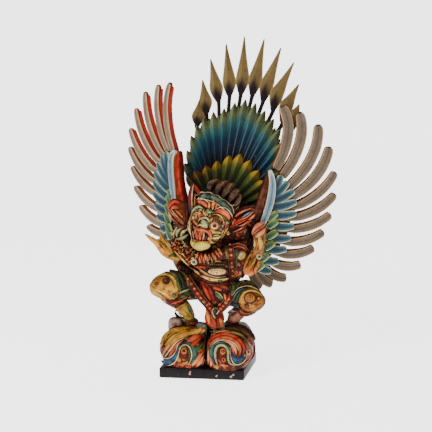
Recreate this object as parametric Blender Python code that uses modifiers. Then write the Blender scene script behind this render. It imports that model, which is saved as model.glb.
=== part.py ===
"""A Balinese garuda, carved in wood and painted: a crouching bird-man on a rock, two wings and a tail fan.

The figure and its base are one log. Each wing and the tail are boards of their own, held by a tenon in its back.
Sizes are in millimetres until a mesh is made, and the model is in metres: +X to the viewer's right, -Y front, +Z up.
Left and right in names are the bird's own.
"""

from math import cos, pi, radians, sin

import bmesh
import bpy
import numpy as np
from mathutils import Matrix, Vector

MM = 0.001
NAME = "garuda"
GAP = 0.3

# The block at the foot, cracked in front from its underside to the top of the rock
BASE_WIDTH, BASE_DEPTH, PLINTH_HEIGHT, PLINTH_CHAMFER = 150.0, 132.0, 16.0, 8.0
CRACK_X, CRACK_WIDTH, CRACK_DEPTH, CRACK_TOP = 6.0, 3.0, 46.0, 70.0

# The body leans to one side and turns a little on the block, and its boards follow it
LEAN, TURN = 8.0, -11.0
WING_CENTRE, WING_SPREAD, WING_SWEEP, WING_BACK = (9.0, 24.0, 270.0), 84.0, 25.0, 4.0
TAIL_ROOT, TAIL_BACK = (14.0, 52.0, 262.0), 9.0
WING_TENON = ((-76, -34, -5), (-8, -4, 4.8))
TAIL_TENON = ((-14, -20, 0), (14, 8, 44))

# Long feathers of a wing. Key places, outwards and up from the shoulder, of where they leave the coverts and end
PRIMARIES, PRIMARY_HALF, PRIMARY_THICK, PRIMARY_BOW = 13, 7.0, 5.2, 0.10
LEFT_ROOTS = ((14, 104), (43, 76), (57, 40), (54, -1), (44, -46), (24, -80), (-4, -88))
LEFT_TIPS = ((15, 207), (77, 182), (114, 106), (116, 33), (95, -28), (55, -86), (15, -106))
RIGHT_ROOTS = ((18, 98), (44, 86), (55, 52), (42, 12), (6, -36), (-4, -62), (-16, -70))
RIGHT_TIPS = ((53, 208), (108, 181), (129, 111), (108, 46), (70, -17), (16, -70), (-10, -84))

# Shorter feathers over their roots
COVERTS, COVERT_HALF, COVERT_THICK = 10, 7.5, 3.8
LEFT_COVERT_ROOTS = ((6, 52), (8, 40), (12, 12), (10, -34), (4, -72))
LEFT_COVERT_TIPS = ((22, 90), (46, 70), (56, 37), (55, -3), (47, -39), (27, -77))
RIGHT_COVERT_ROOTS = ((6, 52), (2, 36), (0, 8), (-6, -20), (-14, -50))
RIGHT_COVERT_TIPS = ((28, 91), (43, 70), (46, 40), (38, 6), (20, -26), (-2, -56))
SCALES, SCALE_HALF, SCALE_THICK = 6, 7.0, 5.6
LEFT_SCALES = ((17, 21), (21, -20), (6, -69))
RIGHT_SCALES = ((-4, 24), (-4, -10), (-18, -44))
LEFT_LEADER = ((-3, -6), (5, 22), (9, 50), (8, 76), (1, 97))
RIGHT_LEADER = ((-21, 6), (-7, 38), (3, 63), (7, 84), (3, 98))
LEFT_SPAR = ((-22, -30), (-10, 20), (-2, 60), (4, 96))
RIGHT_SPAR = ((-46, -30), (-33, 10), (-13, 46), (3, 98))

# The tail. Key places, sideways and up from its root, of the spikes' tips, their widest places and the stalks
# below those, and of the tips of the quills and of the leaves in front
SPIKES, SPIKE_HALF, STALK_HALF = 10, 12.0, 3.4
SPIKE_TIPS = ((-78, 195), (-75, 262), (-31, 312), (32, 316), (83, 282), (102, 218))
SPIKE_SHOULDERS = ((-74, 183), (-53, 218), (-16, 240), (25, 245), (63, 225), (96, 195))
SPIKE_STALKS = ((-74, 163), (-44, 191), (-13, 211), (24, 212), (61, 192), (94, 161))
QUILLS, LEAVES = 17, 11
QUILL_TIPS = ((-82, 80), (-79, 130), (-62, 167), (-28, 188), (8, 210), (46, 197), (80, 171), (96, 126), (100, 78))
LEAF_TIPS = ((-72, 63), (-30, 90), (20, 116), (66, 86), (90, 46))

# Limbs of the figure: x, y, z, half width and half thickness along each
LIMBS = {
    "torso": ((-2, 10, 104, 22, 20), (0, 6, 142, 38, 32), (12, -4, 177, 43, 38), (16, -2, 206, 52, 40), (14, 2, 238, 54, 36),
              (8, 2, 268, 36, 28)),
    "arm_right": ((-42, -14, 250, 13, 12), (-50, -20, 233, 12, 12), (-46, -28, 209, 11, 10), (-54, -38, 211, 10, 9),
                  (-66, -46, 220, 10, 9), (-78, -52, 233, 6, 5), (-90, -56, 243, 4, 4), (-98, -58, 250, 2, 2)),
    "claw_right": ((-66, -44, 226, 6, 5), (-72, -46, 241, 4, 4), (-75, -46, 252, 2, 2)),
    "arm_left": ((85, -20, 262, 12, 12), (91, -22, 249, 13, 13), (93, -28, 233, 11, 11), (90, -40, 214, 11, 11),
                 (81, -50, 204, 13, 10), (74, -56, 193, 6, 5)),
    "thigh_right": ((-8, 4, 140, 20, 20), (-29, -14, 150, 24, 22), (-57, -36, 158, 24, 23), (-75, -48, 156, 20, 21),
                    (-90, -54, 154, 11, 12)),
    "shin_right": ((-73, -44, 150, 14, 14), (-57, -34, 134, 15, 15), (-42, -22, 118, 14, 14), (-30, -14, 101, 11, 11),
                   (-27, -12, 84, 12, 12), (-30, -12, 68, 12, 11)),
    "thigh_left": ((6, 4, 138, 20, 20), (33, -14, 144, 23, 22), (66, -34, 143, 23, 22), (86, -46, 139, 20, 20),
                   (103, -54, 140, 10, 11)),
    "shin_left": ((89, -42, 133, 13, 13), (72, -32, 121, 14, 14), (55, -20, 109, 13, 13), (45, -12, 94, 11, 11),
                  (43, -10, 81, 12, 12), (51, -12, 70, 12, 11)),
    "foot_right": ((-24, -8, 72, 12, 9), (-42, -26, 68, 14, 10), (-59, -44, 63, 11, 8), (-74, -57, 58, 4, 4)),
    "toe_right": ((-44, -30, 66, 9, 8), (-51, -50, 62, 7, 6), (-56, -60, 57, 3, 3)),
    "toe_right_inner": ((-25, -20, 74, 9, 8), (-10, -36, 78, 6, 5), (2, -44, 84, 3, 3)),
    "foot_left": ((43, -6, 76, 12, 9), (63, -24, 78, 13, 9), (82, -42, 78, 8, 7), (92, -50, 77, 3, 3)),
    "toe_left": ((52, -20, 76, 9, 8), (52, -44, 74, 7, 6), (50, -55, 70, 3, 3)),
    "ball_right": ((-54, -14, 70, 13, 13), (-54, -14, 96, 13, 13)),
    "tongue": ((18, -24, 136, 17, 10), (17, -28, 109, 17, 10), (15, -28, 89, 13, 9), (13, -26, 66, 12, 9)),
    "apron": ((14, -38, 176, 26, 12), (20, -38, 143, 23, 11), (20, -32, 112, 14, 10)),
    "sash": ((41, -60, 243, 6, 6), (49, -56, 207, 6, 6), (51, -44, 167, 6, 6), (47, -38, 146, 8, 6)),
}
ROCKS = {
    "lobe_right": ((-37, -1, 4, 36, 62), (-37, -1, 30, 39, 65), (-36, 0, 56, 38, 63), (-33, 2, 78, 30, 52)),
    "lobe_left": ((40, -1, 4, 34, 62), (40, -1, 30, 36, 65), (40, 0, 56, 36, 63), (38, 2, 82, 29, 52)),
    "rock_back": ((0, 8, 4, 68, 54), (0, 8, 50, 68, 54), (2, 8, 80, 50, 42)),
}
BANDS = {
    "collar": ((-60, -4, 238, 11, 8), (-50, -28, 224, 18, 9), (-22, -44, 208, 20, 9), (15, -52, 213, 18, 9),
               (50, -44, 222, 17, 9), (80, -18, 238, 11, 7)),
    "belt": ((-22, -34, 190, 8, 6), (9, -50, 177, 8, 6), (31, -50, 174, 8, 6), (54, -34, 180, 8, 6)),
    "crossing_right": ((-32, -32, 176, 6, 5), (-5, -40, 141, 6, 5), (20, -42, 112, 6, 5)),
    "crossing_left": ((72, -28, 168, 6, 5), (46, -40, 139, 6, 5), (20, -42, 112, 6, 5)),
}

# The head, in its own frame: sideways, back and up from its middle
HEAD_CENTRE, HEAD_ROLL, HEAD_PITCH = (12.0, -40.0, 275.0), 26.0, 10.0
HEAD_EGGS = {
    "skull": ((0, 4, 2), (36, 42, 44), 0.8),
    "brow": ((-3, -26, 17), (30, 16, 9), 0.8),
    "crest": ((-5, -22, 32), (14, 14, 12), 0.8),
    "cheeks": ((-2, -20, -12), (31, 22, 20), 0.8),
    "beak": ((-6, -40, -8), (11, 14, 13), 0.8),
    "jaw": ((2, -24, -37), (17, 18, 11), 0.7),
    "diadem": ((-2, -6, 38), (34, 30, 11), 0.6),
    "bun": ((-4, 28, 40), (28, 27, 18), 0.7),
}
EARS = {
    "ear_left": ((44, -38, 268, 10, 7), (65, -32, 281, 11, 6), (84, -24, 293, 3, 3)),
    "ear_right": ((-18, -42, 294, 7, 6), (-22, -38, 315, 6, 5), (-20, -32, 335, 2.5, 2.5)),
}


def line(keys, share):
    """The points at each share of the way along a smooth line through the keys."""
    keys = np.asarray(keys, float)
    spans = len(keys) - 1
    place = np.clip(np.asarray(share, float), 0, 1) * spans
    start = np.minimum(place.astype(int), spans - 1)
    f = (place - start)[..., None]
    before, first = keys[np.maximum(start - 1, 0)], keys[start]
    second, after = keys[start + 1], keys[np.minimum(start + 2, spans)]
    return 0.5 * (
        2 * first
        + (second - before) * f
        + (2 * before - 5 * first + 4 * second - after) * f**2
        + (3 * first - before - 3 * second + after) * f**3
    )


def unit(v):
    return v / np.maximum(np.linalg.norm(v, axis=-1, keepdims=True), 1e-9)


def oval(s):
    return np.cos(2 * pi * s), np.sin(2 * pi * s)


def cushion(s):
    """A square section with well rounded corners."""
    a, b = oval(s)
    return np.sign(a) * np.abs(a) ** 0.5, np.sign(b) * np.abs(b) ** 0.5


def cornered(corners):
    """A section with straight sides between the corners."""
    corners = np.array(corners + corners[:1], float)

    def section(s):
        place = s * (len(corners) - 1)
        steps = range(len(corners))
        return np.interp(place, steps, corners[:, 0]), np.interp(place, steps, corners[:, 1])

    section.sides = len(corners) - 1
    return section


slab = cornered(((1, 0.8), (-1, 0.8), (-1, -0.8), (1, -0.8)))
pleat = cornered(((1, 0), (0, 1), (-1, 0), (0, -0.6)))


def strand(wood, keys, facing=(0, -1, 0), around=12, along=9, blunt=0.35, section=oval, turn=None):
    """Adds a closed limb to a bmesh: a grid folded round a smooth line.

    Each key is x, y, z, half width and half thickness, and facing is the way the thickness looks.
    The ends are round where blunt is about 1, as on an egg, and squarer the smaller it is. Where blunt is
    nothing, a ring lies on each key and the first and the last are points.
    """
    around = getattr(section, "sides", around)
    along = along if blunt else len(keys) - 1
    made = bmesh.ops.create_grid(wood, x_segments=around, y_segments=along, size=0.5)["verts"]
    at = np.array([v.co for v in made])
    s, t = at[:, 0] + 0.5, at[:, 1] + 0.5
    share = (1 - np.cos(pi * t)) / 2 if blunt else t
    end = np.clip(np.sin(pi * t), 0, 1) ** blunt
    end[(t < 1e-6) | (t > 1 - 1e-6)] = 0
    point = line(keys, share)
    ahead = unit(line(keys, share + 0.01)[:, :3] - line(keys, share - 0.01)[:, :3])
    side = unit(np.cross(ahead, np.asarray(facing, float)))
    front = np.cross(side, ahead)
    a, b = section(np.where(s > 1 - 1e-6, 0.0, s))
    place = point[:, :3] + side * (a * end * point[:, 3])[:, None] + front * (b * end * point[:, 4])[:, None]
    turn = turn or Matrix.Identity(4)
    for v, co in zip(made, place):
        v.co = turn @ Vector(co) * MM
    bmesh.ops.remove_doubles(wood, verts=made, dist=1e-7)


def egg(wood, centre, radii, turn=None, around=14, along=9, blunt=1.0):
    """An egg or, with a small blunt, a pillow."""
    x, y, z = centre
    rx, ry, rz = radii
    strand(wood, ((x, y, z - rz, rx, ry), (x, y, z + rz, rx, ry)), around=around, along=along, blunt=blunt, turn=turn)


def solid(name, wood, folder):
    wood.normal_update()
    bmesh.ops.recalc_face_normals(wood, faces=wood.faces)
    mesh = bpy.data.meshes.new(name)
    wood.to_mesh(mesh)
    wood.free()
    made = bpy.data.objects.new(name, mesh)
    folder.objects.link(made)
    return made


def box(name, low, high, folder, place=None, grow=0.0):
    """A cuboid between two corners, for a tenon or as a cutter."""
    wood = bmesh.new()
    bmesh.ops.create_cube(wood, size=1)
    low = Vector(low) - Vector((grow, grow, grow))
    high = Vector(high) + Vector((grow, grow, grow))
    for v in wood.verts:
        inside = Vector((p + 0.5) * d for p, d in zip(v.co, high - low))
        v.co = (place or Matrix.Identity(4)) @ (low + inside) * MM
    return solid(name, wood, folder)


def boolean(target, tool, operation, crossing=False):
    """Joins or cuts with a tool. Where the target's own shells cross each other, they are merged too."""
    cut = target.modifiers.new(operation + " " + tool.name, "BOOLEAN")
    cut.operation = operation
    cut.object = tool
    cut.solver = "EXACT"
    cut.use_self = crossing
    tool.hide_render = True
    tool.display_type = "WIRE"


def paint(thing, name, colour):
    material = bpy.data.materials.new(name)
    material.use_nodes = True
    shader = material.node_tree.nodes["Principled BSDF"]
    shader.inputs["Base Color"].default_value = (*colour, 1)
    shader.inputs["Roughness"].default_value = 0.55
    thing.data.materials.append(material)


def body_turn():
    return Matrix.Rotation(radians(TURN), 4, "Z") @ Matrix.Rotation(radians(LEAN), 4, "Y")


def wing_place(side):
    """Maps outwards, up and front of a wing into the model. Side is 1 for the bird's left, the viewer's right."""
    sweep = Matrix.Rotation(radians(WING_SWEEP) * side, 4, "Z") @ Matrix.Rotation(radians(-WING_BACK), 4, "X")
    axes = Matrix(((side, 0, 0, 0), (0, 0, -1, 0), (0, 1, 0, 0), (0, 0, 0, 1)))
    return Matrix.Translation(WING_CENTRE) @ body_turn() @ Matrix.Translation((side * WING_SPREAD, 0, 0)) @ sweep @ axes


def tail_place():
    """Maps sideways, up and front of the tail into the model."""
    back = Matrix.Rotation(radians(-TAIL_BACK), 4, "X")
    axes = Matrix(((1, 0, 0, 0), (0, 0, -1, 0), (0, 1, 0, 0), (0, 0, 0, 1)))
    return Matrix.Translation(TAIL_ROOT) @ body_turn() @ back @ axes


def head_place():
    roll = Matrix.Rotation(radians(HEAD_ROLL), 4, "Y")
    return Matrix.Translation(HEAD_CENTRE) @ roll @ Matrix.Rotation(radians(HEAD_PITCH), 4, "X")


def feather(wood, root, tip, half, thick, front, bow, place, along=6, deeper=0.3, lift=0.0):
    """A blade on a board, from a little inside its root to its tip, bowed towards its lower side."""
    root, tip = np.array(root, float), np.array(tip, float)
    chord = tip - root
    sideways = np.array((chord[1], -chord[0])) * bow * 4
    keys = []
    for share, wide in ((-deeper, 0.8), (0.15, 1.0), (0.5, 1.0), (0.8, 0.9), (1, 0.7)):
        at = root + chord * share + sideways * share * (1 - share)
        keys.append((at[0], at[1], front + lift * max(share, 0) ** 2, half * wide, thick * (1.04 - 0.25 * share)))
    strand(wood, keys, (0, 0, 1), 6, along, 0.4, slab, place)


def row(wood, count, roots, tips, half, thick, front, bow, place, along, deeper=0.3, lift=0.0):
    """Feathers side by side, each by turns a little before and behind its neighbours."""
    shares = np.linspace(0, 1, count)
    for n, (root, tip) in enumerate(zip(line(roots, shares), line(tips, shares))):
        feather(wood, root, tip, half, thick, front + 0.3 * (n % 2), bow, place, along, deeper, lift)


def ribbon(wood, path, half, thick, front, place, along=6):
    """A strip laid flat on a board along a path."""
    strand(wood, [(*at, front, half, thick) for at in path], (0, 0, 1), 6, along, 0.4, slab, place)


def wing(name, side, roots, tips, covert_roots, covert_tips, scales, leader, spar, folder, tools):
    place = wing_place(side)
    wood = bmesh.new()
    low = np.array(roots[-1]) + (4, 0)
    middle = (np.array(spar[0]) + covert_tips[-1]) / 2
    panel = ((*low, 0, 10, 4.4), (*middle, 0, 20, 4.4), (12 + middle[0] / 2, 0, 0, 36, 4.4), (20, 50, 0, 24, 4.4),
             (14, 88, 0, 12, 4.4))
    strand(wood, panel, (0, 0, 1), 8, 6, 0.5, turn=place)
    ribbon(wood, spar, 7.5, 7.4, 1.5, place)
    row(wood, PRIMARIES, roots, tips, PRIMARY_HALF, PRIMARY_THICK, 0, PRIMARY_BOW, place, 5, 0.5, 5.0)
    row(wood, COVERTS, covert_roots, covert_tips, COVERT_HALF, COVERT_THICK, 6.0, 0.05, place, 3, 0.1)
    for n, at in enumerate(line(scales, np.linspace(0, 1, SCALES))):
        root, tip = at - (7, 7), at + (6, 5)
        feather(wood, root, tip, SCALE_HALF, SCALE_THICK, 8.7 + 0.3 * (n % 2), 0, place, 3, 0.2)
    ribbon(wood, leader, 6.5, 7.0, 8.6, place)
    made = solid(name, wood, folder)
    boolean(made, box(name + "_tenon", *WING_TENON, tools, place), "UNION", True)
    return made


def tail(name, folder, tools):
    place = tail_place()
    wood = bmesh.new()
    for n, share in enumerate(np.linspace(0, 1, SPIKES)):
        tip, shoulder, stalk = (line(keys, share) for keys in (SPIKE_TIPS, SPIKE_SHOULDERS, SPIKE_STALKS))
        front = 0.4 * (n % 2)
        path = ((stalk * 0.15, 4, 4), (stalk * 0.98, STALK_HALF, 3.6), (shoulder * 0.6 + stalk * 0.4, SPIKE_HALF * 0.9, 6),
                (shoulder, SPIKE_HALF, 6), (shoulder * 0.5 + tip * 0.5, SPIKE_HALF * 0.5, 4.5), (tip, 1, 1))
        keys = [(*at, front, half, thick) for at, half, thick in path]
        strand(wood, keys, (0, 0, 1), blunt=0, section=pleat, turn=place)
    for count, tips, front, half, thick in ((QUILLS, QUILL_TIPS, 7, 9.5, 7.0), (LEAVES, LEAF_TIPS, 14.5, 10.0, 7.0)):
        for n, tip in enumerate(line(tips, np.linspace(0, 1, count))):
            path = ((0, 1), (0.5, 0.62), (0.88, 1.0), (1.0, 1))
            keys = [(*(tip * share), front + 0.4 * (n % 2), half * wide, thick) for share, wide in path]
            strand(wood, keys, (0, 0, 1), blunt=0, section=pleat, turn=place)
    egg(wood, (0, 8, 4), (32, 32, 9), place, 10, 5)
    made = solid(name, wood, folder)
    boolean(made, box(name + "_tenon", *TAIL_TENON, tools, place), "UNION", True)
    return made


def plinth(name, folder):
    """The black slab under the rock, with its corners taken off."""
    w, d, c = BASE_WIDTH / 2, BASE_DEPTH / 2, PLINTH_CHAMFER
    quarter = ((w, d - c), (w - c, d), (c - w, d), (-w, d - c), (-w, c - d), (c - w, -d), (w - c, -d), (w, c - d))
    wood = bmesh.new()
    sole = wood.faces.new([wood.verts.new(Vector((x, y, 0)) * MM) for x, y in quarter])
    top = bmesh.ops.extrude_face_region(wood, geom=[sole])["geom"]
    bmesh.ops.translate(wood, verts=[v for v in top if isinstance(v, bmesh.types.BMVert)], vec=(0, 0, PLINTH_HEIGHT * MM))
    return solid(name, wood, folder)


def crack(name, folder):
    """A wedge that runs into the log from its front."""
    front = -BASE_DEPTH / 2 - 4
    corners = ((CRACK_X - CRACK_WIDTH * 0.6, front), (CRACK_X + CRACK_WIDTH * 0.6, front), (CRACK_X, front + CRACK_DEPTH))
    wood = bmesh.new()
    sole = wood.faces.new([wood.verts.new(Vector((x, y, -2)) * MM) for x, y in corners])
    top = bmesh.ops.extrude_face_region(wood, geom=[sole])["geom"]
    bmesh.ops.translate(wood, verts=[v for v in top if isinstance(v, bmesh.types.BMVert)], vec=(0, 0, (CRACK_TOP + 2) * MM))
    return solid(name, wood, folder)


def figure(name, folder, tools):
    wood = bmesh.new()
    for keys in LIMBS.values():
        strand(wood, keys, around=16, along=14, blunt=0.45)
    for keys in ROCKS.values():
        strand(wood, keys, around=24, along=16, blunt=0.3, section=cushion)
    for keys in BANDS.values():
        strand(wood, keys, (0, 0, 1), around=10, along=12, blunt=0.2)
    for keys in EARS.values():
        strand(wood, keys, around=10, along=8, blunt=0.5)
    turn = head_place()
    for centre, radii, blunt in HEAD_EGGS.values():
        egg(wood, centre, radii, turn, 20, 14, blunt)
    for side in (-1, 1):
        egg(wood, (side * 17 - 5, -34, 3), (7, 8, 7), turn)
    made = solid(name, wood, folder)
    skin = made.modifiers.new("Skin", "REMESH")
    skin.mode = "VOXEL"
    skin.voxel_size = 2.2 * MM
    fewer = made.modifiers.new("Fewer faces", "DECIMATE")
    fewer.ratio = 0.029
    boolean(made, box("ground", (-200, -200, -60), (200, 200, 8), tools), "DIFFERENCE")
    boolean(made, plinth("plinth", tools), "UNION")
    boolean(made, crack("crack", tools), "DIFFERENCE")
    for side, at in ((-1, "right"), (1, "left")):
        place = wing_place(side)
        inner = -36 if side == 1 else -58
        boolean(made, box("housing_" + at, (inner, -125, -12), (140, 220, 16), tools, place), "DIFFERENCE")
        boolean(made, box("mortise_" + at, *WING_TENON, tools, place, GAP), "DIFFERENCE")
    place = tail_place()
    boolean(made, box("housing_tail", (-120, -40, -14), (120, 330, 23), tools, place), "DIFFERENCE")
    boolean(made, box("mortise_tail", *TAIL_TENON, tools, place, GAP), "DIFFERENCE")
    return made


def main():
    for old in list(bpy.data.objects):
        bpy.data.objects.remove(old)
    parts = bpy.data.collections.new(NAME)
    tools = bpy.data.collections.new("tools")
    for folder in (parts, tools):
        bpy.context.scene.collection.children.link(folder)
    body = figure("figure", parts, tools)
    right = wing("wing_right", -1, RIGHT_ROOTS, RIGHT_TIPS, RIGHT_COVERT_ROOTS, RIGHT_COVERT_TIPS, RIGHT_SCALES,
                 RIGHT_LEADER, RIGHT_SPAR, parts, tools)
    left = wing("wing_left", 1, LEFT_ROOTS, LEFT_TIPS, LEFT_COVERT_ROOTS, LEFT_COVERT_TIPS, LEFT_SCALES,
                LEFT_LEADER, LEFT_SPAR, parts, tools)
    fan = tail("tail_fan", parts, tools)
    paint(body, "painted_figure", (0.42, 0.16, 0.07))
    paint(right, "painted_right_wing", (0.34, 0.27, 0.23))
    paint(left, "painted_left_wing", (0.34, 0.27, 0.23))
    paint(fan, "painted_tail", (0.10, 0.20, 0.20))


main()
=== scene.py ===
"""Looks for a carved and painted garuda: wings, tail fan, the crouching figure, its rock and its plinth.

Sizes are in millimetres until a mesh is made. -Y is the front, +X the viewer's right, +Z up.
"""

from math import cos, pi, radians, sin

import bpy
import numpy as np
from mathutils import Matrix, Vector
from mathutils.bvhtree import BVHTree


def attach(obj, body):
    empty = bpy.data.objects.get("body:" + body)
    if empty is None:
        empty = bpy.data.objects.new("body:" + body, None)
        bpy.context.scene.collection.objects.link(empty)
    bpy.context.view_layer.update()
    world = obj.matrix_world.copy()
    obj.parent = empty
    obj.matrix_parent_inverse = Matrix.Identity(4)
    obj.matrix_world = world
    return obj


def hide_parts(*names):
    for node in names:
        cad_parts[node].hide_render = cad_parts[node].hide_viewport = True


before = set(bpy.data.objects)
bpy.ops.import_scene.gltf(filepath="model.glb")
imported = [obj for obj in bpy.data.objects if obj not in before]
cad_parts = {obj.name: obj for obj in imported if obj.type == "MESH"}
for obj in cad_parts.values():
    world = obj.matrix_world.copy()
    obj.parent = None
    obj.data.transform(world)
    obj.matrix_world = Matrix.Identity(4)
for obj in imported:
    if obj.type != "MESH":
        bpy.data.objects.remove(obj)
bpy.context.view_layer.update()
MM = 0.001
TO_FRONT, OUT_OF_BOARD = (0, -1, 0), (0, 0, 1)

# The camera. The photograph's frame is 432 pixels square and a pixel is 1.75 mm where the carving stands. The
# middle of the plinth's underside is seen at the foot's pixel
HALF_FRAME, PIXEL, DISTANCE = 216, 1.75, 2400.0
AZIMUTH, ELEVATION = radians(9), radians(10.5)
FOOT_X, FOOT_Y = 208.2, 369.3
BACK = np.array((sin(AZIMUTH) * cos(ELEVATION), -cos(AZIMUTH) * cos(ELEVATION), sin(ELEVATION)))
RIGHT = np.array((cos(AZIMUTH), sin(AZIMUTH), 0.0))
UP = np.cross(RIGHT, -BACK)
TARGET = RIGHT * (HALF_FRAME - FOOT_X) * PIXEL + UP * (FOOT_Y - HALF_FRAME) * PIXEL
EYE = TARGET + BACK * DISTANCE


# Shader maths

class Tone:
    """A value or a colour in a material, which Python's own operators combine."""

    def __init__(self, paint, socket):
        self.paint, self.socket = paint, socket

    def math(self, operation, *others):
        return self.paint.node("ShaderNodeMath", {"operation": operation}, dict(enumerate(others)))

    def __add__(self, other):
        return self.math("ADD", self, other)

    __radd__ = __add__

    def __sub__(self, other):
        return self.math("SUBTRACT", self, other)

    def __rsub__(self, other):
        return self.math("SUBTRACT", other, self)

    def __mul__(self, other):
        return self.math("MULTIPLY", self, other)

    __rmul__ = __mul__

    def __abs__(self):
        return self.math("ABSOLUTE", self)

    def most(self, other):
        return self.math("MAXIMUM", self, other)

    def rise(self, low, high):
        """0 below low, 1 above high, and smooth between. It falls where low is the larger."""
        given = {"Value": self, "From Min": low, "From Max": high}
        return self.paint.node("ShaderNodeMapRange", {"interpolation_type": "SMOOTHSTEP"}, given)

    def wave(self, turns):
        """Goes from 0 up to 1 and back, turns times for each unit."""
        return self.math("SINE", self * (2 * pi * turns)) * 0.5 + 0.5


class Paint:
    """A painted finish, made from expressions on what the surface carries."""

    def __init__(self, name):
        self.material = bpy.data.materials.new(name)
        self.material.use_nodes = True
        self.tree = self.material.node_tree
        self.shader = self.tree.nodes["Principled BSDF"]
        self.shader.inputs["Specular IOR Level"].default_value = 0.12
        self.place = self.node("ShaderNodeTexCoord", {}, {}, "Object")

    def node(self, kind, settings, given, output=0):
        made = self.tree.nodes.new(kind)
        for key, value in settings.items():
            setattr(made, key, value)
        for key, value in given.items():
            socket = made.inputs[key]
            if isinstance(value, Tone):
                self.tree.links.new(value.socket, socket)
            elif isinstance(value, (tuple, list)) and socket.type == "RGBA" and len(value) == 3:
                socket.default_value = (*value, 1)
            else:
                socket.default_value = value
        return Tone(self, made.outputs[output])

    def read(self, name):
        return self.node("ShaderNodeAttribute", {"attribute_name": name}, {}, "Fac")

    def noise(self, size, detail=2.0, stretch=(1, 1, 1), rough=0.55):
        """Cloudy noise whose spots are about size millimetres across."""
        place = self.place
        if stretch != (1, 1, 1):
            place = self.node("ShaderNodeMapping", {}, {"Vector": place, "Scale": stretch})
        given = {"Vector": place, "Scale": 1000 / size, "Detail": detail, "Roughness": rough}
        return self.node("ShaderNodeTexNoise", {}, given, "Fac")

    def mix(self, a, b, factor):
        """Colour a where factor is 0 and colour b where it is 1."""
        return self.node("ShaderNodeMix", {"data_type": "RGBA"}, {0: factor, 6: a, 7: b}, 2)

    def times(self, colour, value):
        """A colour made lighter or darker by a value."""
        settings = {"data_type": "RGBA", "blend_type": "MULTIPLY"}
        grey = self.node("ShaderNodeCombineColor", {}, {0: value, 1: value, 2: value})
        return self.node("ShaderNodeMix", settings, {0: 1.0, 6: colour, 7: grey}, 2)

    def finish(self, colour, gloss=0.5, wash_and_shade=0.8, bump=None, depth=0.25):
        """Ages a colour: brush mottling, a dark wash in the hollows that is also painted shade from ambient
        occlusion, fine specks and a grained surface.
        """
        colour = self.node("ShaderNodeGamma", {}, {"Color": colour, "Gamma": 1.24})
        blotch = self.noise(26, 3)
        fine = self.noise(2.2, 2)
        grain = self.noise(3.0, 3, (1, 1, 0.12))
        colour = self.times(colour, blotch.rise(0.25, 0.75) * 0.30 + 0.86)
        wash = self.noise(7, 3).rise(0.56, 0.72)
        colour = self.mix(colour, self.times(colour, 0.55), wash * 0.6)
        colour = self.times(colour, fine.rise(0.3, 0.7) * 0.22 + 0.89)
        # Painted shade: where ambient occlusion finds a hollow the colour goes towards dark brown, standing
        # for both the dark antiquing wash and the shade there.
        hollow = self.node("ShaderNodeAmbientOcclusion", {"samples": 6}, {"Distance": 0.008}, "AO")
        colour = self.mix(colour, (0.022, 0.010, 0.008), hollow.rise(0.85, 0.25) * wash_and_shade)
        chip = self.noise(5.5, 5, rough=0.7).rise(0.665, 0.70)
        colour = self.mix(colour, (0.13, 0.065, 0.035), chip * 0.8)
        rough = blotch * 0.25 + fine * 0.15 + (0.9 - gloss)
        self.link(rough.most(0.2), "Roughness")
        self.link(colour, "Base Color")
        height = grain * 0.35 + fine * 0.3 - chip * 0.8
        if bump is not None:
            height = height + bump
        given = {"Strength": depth, "Distance": 0.0012, "Height": height}
        self.link(self.node("ShaderNodeBump", {}, given), "Normal")
        return self.material

    def link(self, tone, name):
        self.tree.links.new(tone.socket, self.shader.inputs[name])


# Making meshes

def line(keys, share):
    """The points at each share of the way along a smooth line through the keys."""
    keys = np.asarray(keys, float)
    spans = len(keys) - 1
    place = np.clip(np.asarray(share, float), 0, 1) * spans
    start = np.minimum(place.astype(int), spans - 1)
    f = (place - start)[..., None]
    before, first = keys[np.maximum(start - 1, 0)], keys[start]
    second, after = keys[start + 1], keys[np.minimum(start + 2, spans)]
    return 0.5 * (
        2 * first
        + (second - before) * f
        + (2 * before - 5 * first + 4 * second - after) * f**2
        + (3 * first - before - 3 * second + after) * f**3
    )


def unit(v):
    return v / np.maximum(np.linalg.norm(v, axis=-1, keepdims=True), 1e-9)


def ease(value, low, high):
    share = np.clip((np.asarray(value, float) - low) / (high - low), 0, 1)
    return share * share * (3 - 2 * share)


def oval(s):
    return np.cos(2 * pi * s), np.sin(2 * pi * s)


def cushion(s):
    """A square section with well rounded corners."""
    a, b = oval(s)
    return np.sign(a) * np.abs(a) ** 0.5, np.sign(b) * np.abs(b) ** 0.5


def cornered(*corners):
    """A section with straight sides between the corners, across and to the front."""
    corners = np.array(corners + corners[:1], float)

    def section(s):
        place = s * (len(corners) - 1)
        steps = range(len(corners))
        return np.interp(place, steps, corners[:, 0]), np.interp(place, steps, corners[:, 1])

    section.sides = len(corners) - 1
    return section


BOARD = cornered((1, 0.55), (0.86, 0.95), (0.45, 1), (0, 0.86), (-0.45, 1), (-0.86, 0.95), (-1, 0.55),
                 (-1, -0.8), (-0.6, -1), (0, -1), (0.6, -1), (1, -0.8))
FACET = cornered((1, 0.1), (0.5, 0.7), (0, 1), (-0.5, 0.7), (-1, 0.1), (-0.8, -0.8), (0, -1), (0.8, -0.8))
PLEAT = cornered((1, 0), (0.5, 0.56), (0, 1), (-0.5, 0.56), (-1, 0), (-0.5, -0.4), (0, -0.55), (0.5, -0.4))
PILLOW = cornered((1, 0), (0.8, 0.62), (0.42, 0.94), (0, 1), (-0.42, 0.94), (-0.8, 0.62), (-1, 0),
                  (-0.6, -0.5), (0, -0.6), (0.6, -0.5))


TINY = 1e-5


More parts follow.
